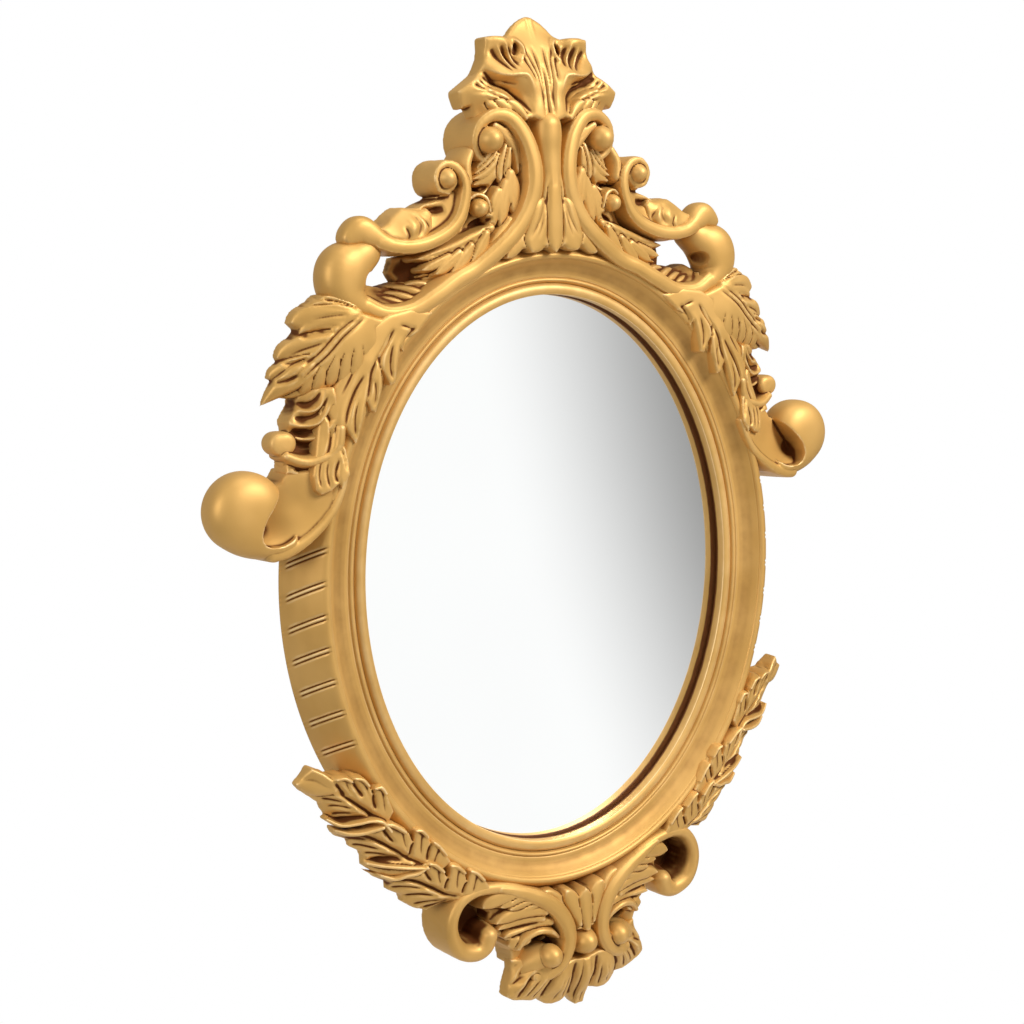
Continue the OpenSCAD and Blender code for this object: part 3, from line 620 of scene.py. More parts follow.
def surface_group():
    """Fine unevenness of a surface: a height, and a mask of soft patches."""
    group, given, out = new_group(
        "fine surface", {"Size": 1.0, "Grain": 0.4}, ("Height", "Patches"))
    scaled = add_node(group, "VectorMath")
    scaled.operation = "SCALE"
    feed(group, scaled, {
        0: add_node(group, "TexCoord").outputs["Object"], "Scale": given["Size"]})
    uneven, grain, patches = (
        add_node(group, "TexNoise", {
            "Vector": scaled.outputs[0], "Scale": scale, "Detail": detail}).outputs["Fac"]
        for scale, detail in ((60, 4), (900, 2), (18, 3)))
    grain = maths(group, "MULTIPLY", grain, given["Grain"])
    feed(group, out, {"Height": maths(group, "ADD", uneven, grain), "Patches": patches})
    return group


def use_group(tree, group, **values):
    made = add_node(tree, "Group")
    made.node_tree = group
    feed(tree, made, values)
    return made.outputs


def bump(tree, height, strength, distance):
    return add_node(tree, "Bump", {
        "Height": height, "Strength": strength, "Distance": distance}).outputs["Normal"]


HOLLOWS = hollow_mask_group()
SURFACE = surface_group()


def gilding():
    """Satin gold paint, red-brown in the hollows by its wash and painted shade, and brighter on
    the edges by wear and a painted highlight.
    """
    made, tree, shader = new_material("gold paint")
    masks = use_group(tree, HOLLOWS, Depth=0.9, Edge=0.3)
    surface = use_group(tree, SURFACE, Size=1.0, Grain=0.25)
    base = blend(tree, ramp(tree, surface["Patches"], *SOFT), *GOLD)
    # Painted shade, with the paint's wash, turns the hollows dark red-brown
    dark = blend(tree, masks["Hollow"], base, GOLD_WASH_AND_SHADE)
    rough = ramp(tree, surface["Patches"], *SOFT, 0.45, 0.53)
    feed(tree, shader, {
        # Wear and a painted highlight lighten the edges
        "Base Color": blend(tree, masks["Edge"], dark, GOLD_EDGE),
        "Roughness": maths(tree, "ADD", rough, maths(tree, "MULTIPLY", masks["Hollow"], 0.22)),
        "Metallic": 0.4,
        "Specular IOR Level": 0.25,
        "Normal": bump(tree, surface["Height"], 0.12, 0.0006),
    })
    return made


def silvering():
    """The silvered glass: a clear reflection with a faint haze."""
    made, tree, shader = new_material("silvered glass")
    haze = noise(tree, 7, 2)
    feed(tree, shader, {
        "Base Color": blend(tree, ramp(tree, haze, *SOFT), *SILVER),
        "Roughness": ramp(tree, haze, *SOFT, 0.012, 0.028),
        "Metallic": 1.0,
        "Normal": bump(tree, noise(tree, 3, 1), 0.004, 0.0005),
    })
    return made


def hardboard():
    """Brown hardboard with short fibres."""
    made, tree, shader = new_material("hardboard")
    fibres = noise(tree, 320, 5, 0.7, (1.0, 1.0, 0.25))
    surface = use_group(tree, SURFACE, Size=1.4, Grain=0.8)
    feed(tree, shader, {
        "Base Color": blend(tree, ramp(tree, fibres, *CRISP), *BOARD),
        "Roughness": ramp(tree, surface["Patches"], *SOFT, 0.72, 0.88),
        "Normal": bump(tree, fibres, 0.25, 0.0008),
    })
    return made


def zinc():
    """Zinc-plated steel with soft cloudy patches."""
    made, tree, shader = new_material("zinc plated steel")
    surface = use_group(tree, SURFACE, Size=3.0, Grain=0.5)
    feed(tree, shader, {
        "Base Color": blend(tree, ramp(tree, surface["Patches"], *CRISP), *ZINC),
        "Roughness": ramp(tree, surface["Patches"], *SOFT, 0.28, 0.42),
        "Metallic": 0.95,
        "Normal": bump(tree, surface["Height"], 0.15, 0.0004),
    })
    return made


GILDING = gilding()


# The moulding. Its grooves: the pairs on each flank, the space between pairs and in a pair, where
# the first one meets the ridge, how much they slant, their depth and width, and the shares of the
# depth by which they go inward and down

GROOVE_PAIRS = 7
PAIR_SPACE, LINE_SPACE, FIRST_LINE, SLANT = 23.5, 3.4, 50.5, 0.42
GROOVE_DEPTH, GROOVE_WIDE = 1.2, 0.8
INWARD, DOWNWARD = 0.8, 0.45

# The angles between which the flanks have them, below and above the middle, and the number of
# steps there and between the flanks
GROOVES_BELOW, GROOVES_ABOVE = 0.46, 0.24
STEPS_ON_FLANK, STEPS_BETWEEN = 194, 280

# The back: the wall rim's width, the board's and the glass's room, and the lip behind the bead
BACK_RIM, RECESS, GLASS_ROOM, LIP_BACK_H = 14, 7, 3.5, 18.6

# The dark wash with painted shade: how high over the wall it starts, over how much it grows, how
# much of the wide hollows shows, and how thick painted shade lies on the wall of the lip and how
# high that goes
WASH_FROM, WASH_OVER, WIDE_SHARE, LIP_SHADE, LIP_WALL_TOP = 4, 6, 0.16, 1.6, 20


def flank_groove_depth(x, h, z):
    """The pairs of slanting grooves on each flank."""
    depth = np.zeros(x.shape)
    for i in range(GROOVE_PAIRS):
        for k in (0.0, LINE_SPACE):
            line = FIRST_LINE - i * PAIR_SPACE - k - (RIDGE_H - h) * SLANT
            depth += GROOVE_DEPTH * np.exp(-((z - line) / GROOVE_WIDE) ** 2)
    return depth * np.clip((RIDGE_H + 1 - h) / 3, 0, 1)


def moulding_angles():
    """Angles round the oval, closer together where the flanks have their grooves."""
    ends = [-GROOVES_BELOW, GROOVES_ABOVE, math.pi - GROOVES_ABOVE, math.pi + GROOVES_BELOW,
            2 * math.pi - GROOVES_BELOW]
    counts = [STEPS_ON_FLANK, STEPS_BETWEEN] * 2
    return np.concatenate([
        np.linspace(a, b, n, endpoint=False) for a, b, n in zip(ends, ends[1:], counts)])


def moulding():
    """The oval moulding, front and back, as one ring of section curves."""
    rows = section_rows()
    ridge = sum(len(part[2]) for part in SECTION[:2])
    front = np.concatenate([spread(rows[:ridge + 1], 2)[:-1], spread(rows[ridge:], 5)])
    lip_back = [(*(SIGHT + GLASS_ROOM), GLASS_FRONT), (*SIGHT, LIP_BACK_H)]
    back = [(*(EDGE - BACK_RIM), 0.0), (*(EDGE - BACK_RIM), LAND),
            (*(SIGHT + RECESS), LAND), (*(SIGHT + RECESS), GLASS_FRONT)]
    section = np.concatenate([lip_back, front, back])
    angles = moulding_angles()
    x = section[None, :, 0] * np.cos(angles)[:, None]
    z = section[None, :, 1] * np.sin(angles)[:, None]
    h = np.repeat(section[None, :, 2], len(angles), 0)
    outside = (section[:, 0] > RIDGE[0]) & (section[:, 2] > 0.5)
    depth = flank_groove_depth(x, h, z) * outside[None, :]
    x = x - np.sign(x) * depth * INWARD
    h = h - depth * DOWNWARD
    points = np.stack([x, h, z], 2).reshape(-1, 3)
    n, m = len(angles), len(section)
    i, j = (part.ravel() for part in np.meshgrid(np.arange(n), np.arange(m), indexing="ij"))
    i2, j2 = (i + 1) % n, (j + 1) % m
    quads = np.stack([i * m + j, i * m + j2, i2 * m + j2, i2 * m + j], 1)
    fine, wide = hollowness(points, quads, edge_pairs(quads))
    # The lip's inner wall gets painted shade, a dark line where the gap over the glass lies in
    # shadow
    lip_wall = np.tile((section[:, 0] < SIGHT[0] + 4) & (section[:, 2] < LIP_WALL_TOP), n)
    shown = np.tile(np.arange(m) < m - len(back), n)
    lifted = np.clip((points[:, 1] - WASH_FROM) / WASH_OVER, 0, 1) * (shown & ~lip_wall)
    piece = make_piece("moulding", points, quads,
                       (fine * lifted, wide * lifted * WIDE_SHARE, lip_wall * LIP_SHADE))
    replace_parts(piece, "oval_frame")


# Carved pieces, right side first: outlines and lines as x and z, and heights over the wall

# The places each piece marks for the dark wash also carry painted shade, where the carving lies in
# shadow
ROUND_TIP = {"point": 3.2, "wide": 0.6, "vein": 0}


def crest_palmette(c):
    c.sheet(
        [(-4, 415), (0, 415.3), (6, 413.8), (11, 411), (15.5, 407), (20, 402), (24.5, 398.5),
         (30, 399.5), (37, 399.5), (45, 398.5), (45.5, 390), (46.5, 384), (50, 377), (53, 372.5),
         (60, 367.5), (66, 363.5), (70.5, 360.5), (69.5, 355), (67, 348.5), (60, 350), (57, 342),
         (48, 340), (30, 337), (14, 341), (6, 338), (-4, 337)],
        [(0, 341, 47), (0, 356, 45.5), (0, 372, 42.5), (0, 388, 35.5), (0, 402, 28.5), (0, 414, 24),
         (12, 409, 24.5), (23, 400, 28), (12, 394, 33), (15, 380, 39), (27, 397, 36.5),
         (36, 398, 37), (44, 397, 35), (45, 385, 34), (36, 387, 34.5), (27, 383, 35), (47, 378, 37),
         (42, 373.5, 39.5), (36, 371, 42), (30, 371, 44), (24, 371.5, 45.5), (17, 371, 45.5),
         (49, 372.5, 33), (40, 366, 34), (30, 362.5, 35), (21, 356.5, 38), (14, 362, 46),
         (11, 350, 47), (9, 341, 47.5), (52, 369, 37), (60, 365, 38), (70, 360.5, 35.5),
         (46, 362, 41.5), (58, 358, 39.5), (36, 357, 42.5), (27, 350, 44), (50, 349, 37),
         (64, 351, 33), (56, 344, 33), (38, 346, 42.5), (26, 341, 44.5)])
    c.groove(1.6, 4, [(49, 375), (41, 369.5), (31, 367), (23, 364.5)])
    c.groove(1.8, 5.5, [(48, 371), (38, 365.5), (28, 361.5), (20, 353), (15, 343)])
    c.crease(1.5, 4.2, [(24, 374.5), (28, 383), (33, 394)], [(27, 374), (35, 382), (41, 391)],
        [(21, 377), (22.5, 386), (26, 394)])
    c.swell(1.1, 1.6, [(22, 375), (25.5, 385), (29.5, 395)], [(26, 374), (31.5, 383), (37, 393)])
    c.hollow((18.5, 390.5), 2.4, 5, 5, 16)
    c.swell(1.5, 2.6, [(24, 397.5), (18, 398), (14, 393.5), (14, 387), (17.5, 383), (21, 385)])
    c.swell(1.8, 2.0, [(49, 376.5), (43, 374), (37, 371.5), (30, 371), (23, 372), (17, 371),
        (13.5, 363), (12, 352)])
    c.crease(1.0, 3.2, [(0.2, 339), (0.4, 358), (0, 380)])
    c.crease(0.9, 2.2, [(4, 340), (5, 360), (8, 378), (12, 392)],
        [(2.4, 348), (3.4, 372), (5, 394)], [(9, 366), (12, 378), (16, 390)])
    c.crease(0.9, 1.9, [(16, 345), (26, 355.5), (38, 361.5), (52, 363.5)],
        [(18, 344), (32, 353), (46, 358.5), (62, 359.5)], [(24, 346), (38, 352), (52, 355.5)])
    c.crease(1.2, 3, [(54, 368.5), (48, 364.5), (42, 362)], [(50, 371), (45, 367), (39, 363.5)],
        [(59, 366), (53, 363), (48, 361.5)])
    c.petals(1.6, 2.4,
        (36, 344, 50, 352, 7, 43, 39.5, 1.5), (28, 343, 43, 353.5, 7, 44.6, 42.5, 1.5),
        (20, 341, 34, 353, 7, 46, 44.2, 1.5), point=2.6, wide=0.6)
    c.wash_and_shade((46, 371, 6, 40), (39, 367, 6, 40), (31, 364, 6, 40), (24, 360, 6, 40),
        (19, 353, 6, 40), (31, 388, 9, 34.5), (18.5, 390.5, 5, 34))


def crest_column(c):
    c.sheet(
        [(-4, 306), (6, 306), (9, 294), (11, 280), (17, 266), (28, 254), (38, 245), (26, 248),
         (10, 248), (-4, 248)],
        [(0, 306, 49), (0, 285, 49), (0, 262, 47.5), (0, 250, 46), (10, 282, 46.5), (18, 262, 45),
         (26, 250, 44), (38, 245, 41), (12, 250, 46)])
    c.petals(2.0, 1.8,
        (22, 262, 41.5, 242, 9, 44.5, 41.5, -2, ROUND_TIP),
        (12, 276, 21, 245, 19, 48, 45.5, -2, ROUND_TIP),
        (0, 290, 0, 243.8, 14, 49.4, 46.5, 0, ROUND_TIP), foot=0.8)
    c.sheet(
        [(-4, 340), (12, 340), (14, 316), (12, 296), (12, 284), (-4, 284)],
        [(0, 340, 40), (12, 338, 36), (12, 310, 39), (0, 300, 44), (12, 286, 42), (0, 286, 46)],
         moat=0)
    c.pod([(0, 335, 11, 51.4, 24), (0, 328, 11.4, 51.2, 24), (0, 318, 10.4, 50, 26),
        (0, 305, 9.8, 49.4, 27), (0, 292, 9.8, 48.8, 27), (0, 280, 9, 46.8, 27)], 2.3, 9)
    c.crease(0.9, 1.4, [(3.6, 290), (4.6, 272), (6.6, 254)], [(7, 288), (10, 272), (16, 254)],
        [(9, 284), (14, 268), (23, 254)])


def crest_scroll_rows():
    """The big C scroll, from its curl over the moulding to the shoulder."""
    rows = [
        (44, 313, 1.6, 35), (52, 312.5, 2.2, 36.5), (58.5, 317.5, 2.6, 38), (60.5, 327, 3, 40),
        (56.5, 337, 3.6, 42), (45, 343.5, 4.4, 44.5), (32, 341, 5.4, 46.5),
        (21.5, 328, 6, 47.9), (15.8, 310, 6.4, 48.9), (15.5, 294, 6.6, 48.9),
        (19.5, 280, 6.6, 47.9), (29, 265, 6.4, 46.8), (44, 251, 6.4, 45.5)]
    for t in (72, 67, 62):
        rows.append((*ring_point(t, 6), 6, 42.6))
    rows.append((*ring_point(56, 10), 5.6, 40.8))
    return rows + [(141, 208, 5.6, 39.6), (156, 214, 7, 38.5)]


def crest_scroll(c):
    c.sheet(
        [(88, 232), (100, 214), (120, 209), (142, 212), (152, 224), (146, 229), (134, 226),
         (118, 229)],
        [(100, 216, 36), (120, 212, 35), (142, 214, 33), (92, 231, 30), (118, 229, 21),
         (134, 226, 18), (148, 226, 19)])
    c.petals(1.2, 1.6,
        (104, 218, 129, 226, 5, 34, 22, 1), (112, 215, 137, 222, 5, 34, 22, 1),
        (122, 213, 146, 219, 5, 33, 22, 1), wide=0.5, point=2)
    c.band(crest_scroll_rows(), crown=0.4, rim=0.5)
    c.pod([(49.5, 326, 10.6, 38, 5)], 4)
    c.ball((49.5, 326), 9.5, 51, 1.2)
    c.pod([(148, 210, 6, 38, 8), (160, 215, 10, 38.5, 7), (169, 226, 15.5, 39.5, 6),
        (167, 239, 18.6, 40, 6), (158, 246, 14.5, 38, 7), (150, 250, 11.5, 36, 8),
        (145, 250, 8, 32, 10)], 2.5, 7)
    c.cut([(142, 227, 7, 60, 8), (149, 231.5, 6.4, 60, 16)], 2.4, 5)
    c.wash_and_shade((128, 222, 24, 33))


def crest_spray(c):
    c.sheet(
        [(22, 284), (18, 310), (30, 334), (56, 330), (66, 306), (64, 290), (74, 262), (96, 250),
         (120, 246), (124, 236), (118, 226), (60, 236), (34, 258)],
        [(24, 290, 34), (24, 320, 33), (42, 330, 33), (60, 306, 26), (50, 290, 30), (62, 278, 27),
         (60, 262, 29), (90, 248, 29), (110, 244, 20), (122, 236, 12), (60, 238, 36), (90, 232, 33),
         (112, 229, 20)], moat=0)
    c.petals(1.4, 2,
        (46, 320, 58, 306.5, 5, 38.5, 34, -1.5), (43, 318, 60, 303, 5, 38.8, 34, -2.5),
        (41, 316, 62, 299, 5, 39, 34, -3.5), (39, 311, 61, 295, 7.5, 38.5, 33, -3.5), wide=0.55,
        point=2.4)
    c.petals(1.5, 2.4,
        (35, 322, 40.5, 297, 6.5, 40, 37.5, 1, ROUND_TIP),
        (32, 320, 35, 297, 6, 40.4, 38, 0.5, ROUND_TIP),
        (44, 336, 15, 295, 10.5, 41.5, 37.5, -6, {"wide": 0.7}),
        (35, 334, 25, 302, 4.5, 41, 38.5, -3, {"vein": 0}),
        (32, 302, 27, 270.5, 14, 40.4, 37.5, 1, {"wide": 0.35, "point": 1.6}),
        (36, 296, 41, 261.5, 11.5, 39.8, 37.3, 1, {"wide": 0.45, "point": 1.7}),
        (43, 290, 50, 261.5, 11, 39.2, 36.6, 1), (42, 302, 56, 284, 5, 36, 32, 1.5),
        (50, 264, 112, 244.5, 10, 38.6, 31, -3.6, {"vein": 0.8, "wide": 0.3}),
        (34, 268, 56, 241, 13, 40.2, 38.2, -1.5), (55, 260, 71, 235, 11, 39.4, 37.4, -1.5),
        (68, 252, 85.5, 232, 10, 38.6, 36.4, -1), (78, 248, 98, 233, 8.5, 37.6, 35, -1),
        (86, 246, 108, 236.5, 6.5, 36, 32.6, -1), vein=0.3, wide=0.5, point=2.2)
    c.petals(1.4, 1.5, (80, 234, 108, 232, 4, 31, 26, 1.5), (100, 226, 120, 226, 4, 29, 22, 1.5))
    c.band([(51, 276, 1, 39), (54, 285, 1.2, 40), (61, 288, 1.2, 39), (67, 285, 1, 37)], crown=0.6,
        moat=1.6)
    c.hollow((56, 292), 8, 2.6, 4, -10)
    c.hollow((57, 268), 8, 3, 4, -20)
    c.ball((60, 278.5), 6.8, 44.8, 1.3)
    c.wash_and_shade((120, 237, 18, 30), (62, 292, 12, 31), (64, 268, 12, 31))


def outer_scroll(c):
    c.sheet(
        [(100, 283), (88, 287), (76, 292), (70, 286), (76, 270), (90, 259), (110, 254), (134, 254),
         (150, 262), (136, 268), (126, 276), (118, 281), (106, 280)],
        [(101, 282, 30), (88, 286, 30), (75, 290, 33), (74, 280, 36), (84, 266, 36), (100, 258, 36),
         (126, 256, 35), (148, 262, 33), (96, 272, 31), (110, 266, 32), (118, 279, 28),
         (132, 268, 31)], moat=0)
    c.pod([(63, 318, 5, 37, 5), (67.5, 309, 6, 38, 4), (67, 298, 6, 38, 4)], 2.4)
    c.pod([(86, 300, 11, 38, 8)], 6)
    c.band([(84, 290, 1.4, 37), (92, 292, 1.8, 38), (95, 299, 2, 39), (93, 306, 2.2, 39.4),
        (86.5, 310, 2.6, 40), (78.5, 308, 3, 40.4), (73, 301.5, 3.4, 40.8), (71, 293, 3.8, 41),
        (72.5, 283, 4.2, 41), (77.5, 271.5, 4.6, 41), (87, 262.5, 4.8, 41), (102, 256, 4.8, 40.8),
        (117, 253.4, 4.8, 40.4), (131, 254.5, 5, 39.6), (142, 258, 5, 38.6)], crown=0.34, rim=0.5)
    c.pod([(132, 256, 5, 39, 16), (141, 259.5, 6.6, 38.6, 16), (148.5, 264, 9.6, 38, 15),
        (154, 266.5, 10.2, 37.4, 15), (160, 264, 8.4, 36, 16), (164, 261.5, 6, 35, 18)], 2.8, 8)
    c.ball((86, 300), 7.6, 45, 1.4)
    c.crease(1.8, 6, [(104, 279), (95, 278), (86, 279)])
    c.wash_and_shade((92, 283, 12, 35))


def outer_leaf(c):
    c.sheet(
        [(96, 276), (97, 266), (104, 258), (120, 256), (134, 260), (141, 267), (134, 270),
         (127, 276), (120, 280.5), (112, 280), (106, 279), (100, 280.5)],
        [(97, 268, 33), (105, 260, 37), (120, 258, 37.5), (136, 264, 35), (128, 275, 31),
         (119, 280, 30), (108, 279, 31), (98, 278, 32), (120, 268, 37.5), (108, 270, 37)])
    c.crease(0.9, 1.8, [(109, 276), (101, 267), (103, 261), (109, 256)],
        [(122, 268), (119, 261), (123, 255)])
    c.crease(1.4, 1.6, [(113, 277), (109, 268), (113, 259)])
    c.swell(2.6, 0.9, [(113, 277), (105.5, 269), (106, 262)], [(119, 276), (115, 268), (118, 261)])


def shoulder_leaf(c):
    c.sheet(
        [(140, 204), (150, 206), (164, 211), (178, 219), (188, 223), (200, 214), (206, 198),
         (216, 188), (220, 178), (224, 168), (228, 158), (214, 154.5), (204, 156.5), (199, 159.5),
         (195, 157.8), (190, 160), (186, 163.5), (182, 160), (177, 159), (173, 162), (170, 163),
         (163, 172), (157, 182), (151, 177.5), (144, 187), (138, 200)],
        [(148, 204, 41), (164, 208, 42), (187, 221, 34), (200, 212, 30), (206, 197, 29),
         (218, 180, 24), (224, 165, 21), (228, 158, 19), (214, 156, 24), (196, 159, 31),
         (186, 164, 34), (178, 160, 33.5), (170, 165, 37), (158, 181, 40.5), (151, 179, 41),
         (140, 198, 41.5), (185, 196, 41), (200, 182, 37.5), (170, 200, 43), (165, 185, 42.5),
         (212, 170, 30), (190, 180, 40)])
    c.petals(2.6, 2.6,
        (164, 212, 187, 223, 5, 41, 33, 1), (170, 212, 197, 217, 8, 41.5, 30, 1),
        (168, 207, 210, 206.5, 18, 42.5, 25, 1.5), (182, 195, 221, 183, 14.5, 41.4, 21.5, 1.5),
        (197, 181, 228, 170, 11, 38, 19.5, 1),
        (200, 177, 233.5, 151.5, 15, 37.5, 17.5, 1.5, {"wide": 0.35, "point": 1.3}), point=3,
        wide=0.6, foot=0.8)
    c.petals(1.2, 1,
        (202, 172, 206, 156.5, 8, 35, 27, 0), (194, 176, 197, 158, 8.5, 38, 29.5, 0),
        (184, 182, 188, 161, 9, 41, 33, 0), (176, 186, 178, 159, 10, 42, 33.5, 0),
        (168, 190, 169, 163, 10, 43, 37, 0), point=3, wide=0.6, foot=0.4, drop=2)
    c.crease(1.7, 5, [(207, 196.5), (196, 198.5), (184, 200)])
    c.crease(1.4, 4, [(220, 179), (210, 180), (199, 182)], [(227, 166.5), (218, 168), (209, 171)])
    c.crease(0.8, 2.2, [(164, 210), (182, 198.5), (194, 187), (208, 175.5), (222, 163)],
        [(160, 208), (178, 195.5), (190.5, 183.5), (204, 172.5), (217, 161)])
    c.crease(0.9, 1.2, [(174, 210), (186, 209.5), (198, 208)], [(190, 193), (203, 189), (214, 185)],
        [(180, 203), (190, 203), (200, 201)])
    c.crease(1.6, 1.4, [(152, 201), (150, 190), (153, 181)])
    c.wash_and_shade((206, 195, 8, 34), (219, 177.5, 6, 27), (225, 165, 5, 24), (199, 222, 7, 28),
        (193, 160, 5, 30), (182, 161, 5, 34))


def flank_leaf(c):
    c.sheet(
        [(104, 207), (110, 201), (118, 193.5), (127, 190), (131, 180.5), (134, 184), (137, 170),
         (139.5, 159.5), (144, 158), (147, 164), (151, 171.5), (150, 158), (156.5, 140), (161, 142),
         (164, 149.5), (167, 138), (171, 126), (174, 119.5), (178, 126), (182, 132.5), (182, 118),
         (181, 100), (187.5, 89.5), (189, 94.5), (195, 89.5), (202, 87), (206, 91), (206.5, 102),
         (200, 128), (196, 148), (186, 160), (172, 178), (158, 200), (142, 208), (124, 211)],
        [(106, 206, 39.5), (119, 196, 40.5), (131, 184, 40.8), (141, 163, 40.8), (150, 176, 41.6),
         (158, 144, 40.8), (163, 154, 41.6), (173, 124, 40.8), (181, 136, 41), (182, 108, 42.5),
         (189, 92, 42), (203, 90, 37.5), (205, 104, 36), (198, 128, 34), (196, 146, 33),
         (184, 158, 36.5), (168, 176, 40), (150, 198, 41.6), (126, 204, 41.6), (174, 146, 41.6),
         (190, 120, 39), (160, 176, 42)], moat=0)
    c.crease(1.0, 3.4, [(151.5, 170), (151, 179), (145, 188), (138, 198)],
        [(164, 148.5), (160.5, 160), (158, 170), (151, 182)],
        [(182, 131), (178, 144), (172, 156), (164, 168)], [(131.5, 181.5), (128, 190), (120, 198)])
    c.crease(1.0, 3, [(190, 94.5), (191, 101), (188, 112)], [(182, 118), (186, 128), (189, 138)],
        [(196, 148), (190, 136), (193, 120), (200, 108)])
    c.crease(0.8, 1.6, [(142, 162), (143, 174), (140, 188)], [(158, 144), (156, 156), (157, 164)],
        [(174, 124), (174, 138), (170, 152)], [(121, 195), (127, 198), (134, 200)],
        [(165, 186), (172, 170), (182, 154)], [(196, 91), (197, 102), (195, 112)],
        [(183, 102), (184, 112), (186, 120)], [(202, 92), (202, 103), (199, 114)])
    c.swell(2.4, 0.9, [(141, 161), (139, 176), (133, 192)],
        [(158, 142), (154, 156), (149, 176), (142, 192)])
    c.swell(2.6, 0.9, [(173, 122), (169, 140), (163, 158), (154, 178)])
    c.swell(2.4, 0.9, [(186, 128), (184, 144), (174, 162), (162, 180)])


def side_curl(c):
    c.sheet(
        [(186, 161), (200, 161), (209, 157), (210.5, 149), (217.5, 139), (216, 131), (217, 122),
         (221, 112), (222.5, 104), (206, 100.5), (192, 105), (183, 122), (184, 140)],
        [(208, 154, 25), (200, 158, 31), (212, 145, 26), (216, 138, 26), (196, 152, 34),
         (200, 141, 32), (208, 132, 26), (202, 129, 28), (208, 122, 22), (200, 119, 26),
         (188, 130, 38), (188, 150, 38), (220, 108, 27), (206, 104, 30), (194, 109, 34),
         (213, 118, 22)])
    c.crease(1.5, 4.5, [(212, 152), (204, 150), (198, 153), (194, 161)],
        [(214, 142), (205, 140.5), (197, 144), (191, 156)])
    c.crease(1.7, 6.5, [(218, 134.5), (208, 131), (198, 132.5), (190, 142), (186, 154)])
    c.crease(1.2, 2.5, [(214, 124), (206, 121.5), (197, 124), (190, 133)])
    c.swell(1.5, 2.8, [(211, 147), (204, 145.5), (197, 149), (192, 160)],
        [(218, 138), (208, 135.5), (198, 137.5), (190, 149)],
        [(216, 129), (207, 126), (197, 127.5), (189, 137)])
    c.band([(222, 116, 3, 31), (214, 112, 3.2, 34), (206, 110.6, 3.2, 36), (198, 112.4, 3.2, 37.8),
        (191, 114.5, 3.4, 39.4), (186, 121, 3.8, 40.8), (184, 132, 3.4, 41.4)], crown=0.8, moat=2)
    c.crease(1.4, 3, [(217, 106.5), (207, 104.5), (198, 107)])
    c.pod([(224.5, 124.5, 8.6, 28, 8), (221, 124.5, 8.4, 28.5, 8)], 4, 3)
    c.wash_and_shade((208, 123, 12, 32), (208, 150, 12, 33), (209, 134, 8, 31))


def side_scroll(c):
    c.sheet(
        [(262, 72), (256, 56), (242, 51), (228, 50), (214, 55), (202, 64), (192, 75), (186, 87),
         (181, 100), (182, 112), (206, 105), (221, 105), (226, 98), (236, 94), (256, 90)],
        [(258, 66, 27), (249, 58, 31), (242, 54, 35), (228, 53, 37.5), (214, 59, 38.5),
         (200, 70, 38.6), (190, 84, 38), (183, 102, 37), (196, 104, 33.5), (212, 101, 29),
         (224, 98, 25), (236, 88, 21), (244, 76, 20), (228, 76, 27), (214, 82, 29.5),
         (204, 92, 31.5), (236, 66, 26), (247, 66, 22)], moat=0)
    c.pod([(254.5, 81, 28.2, 42, 0.5), (250, 73, 24, 41.4, 0.5), (243.5, 65, 18, 40.4, 1),
        (236, 60, 12.8, 39.4, 2), (228, 58.5, 8.4, 39, 3)], 2.7, 8)
    c.band([(240, 50.8, 5.4, 37.4), (230, 51.6, 4.4, 38.4), (218, 56.4, 3.6, 39.2),
        (204.5, 65.5, 3.2, 39.7), (194, 76, 2.8, 39.8), (187, 88, 2.3, 39.8),
        (182.5, 100, 1.9, 39.8)], crown=0.45, moat=0)
    c.cut([(208, 97, 15, 60, -4), (221, 84, 14, 60, -4), (229, 75, 14, 60, -4),
        (235, 69.5, 13, 60, -4), (240.5, 65.5, 9.5, 60, -4)], 2.6, 8)
    c.wash_and_shade((245, 68, 8, 30))


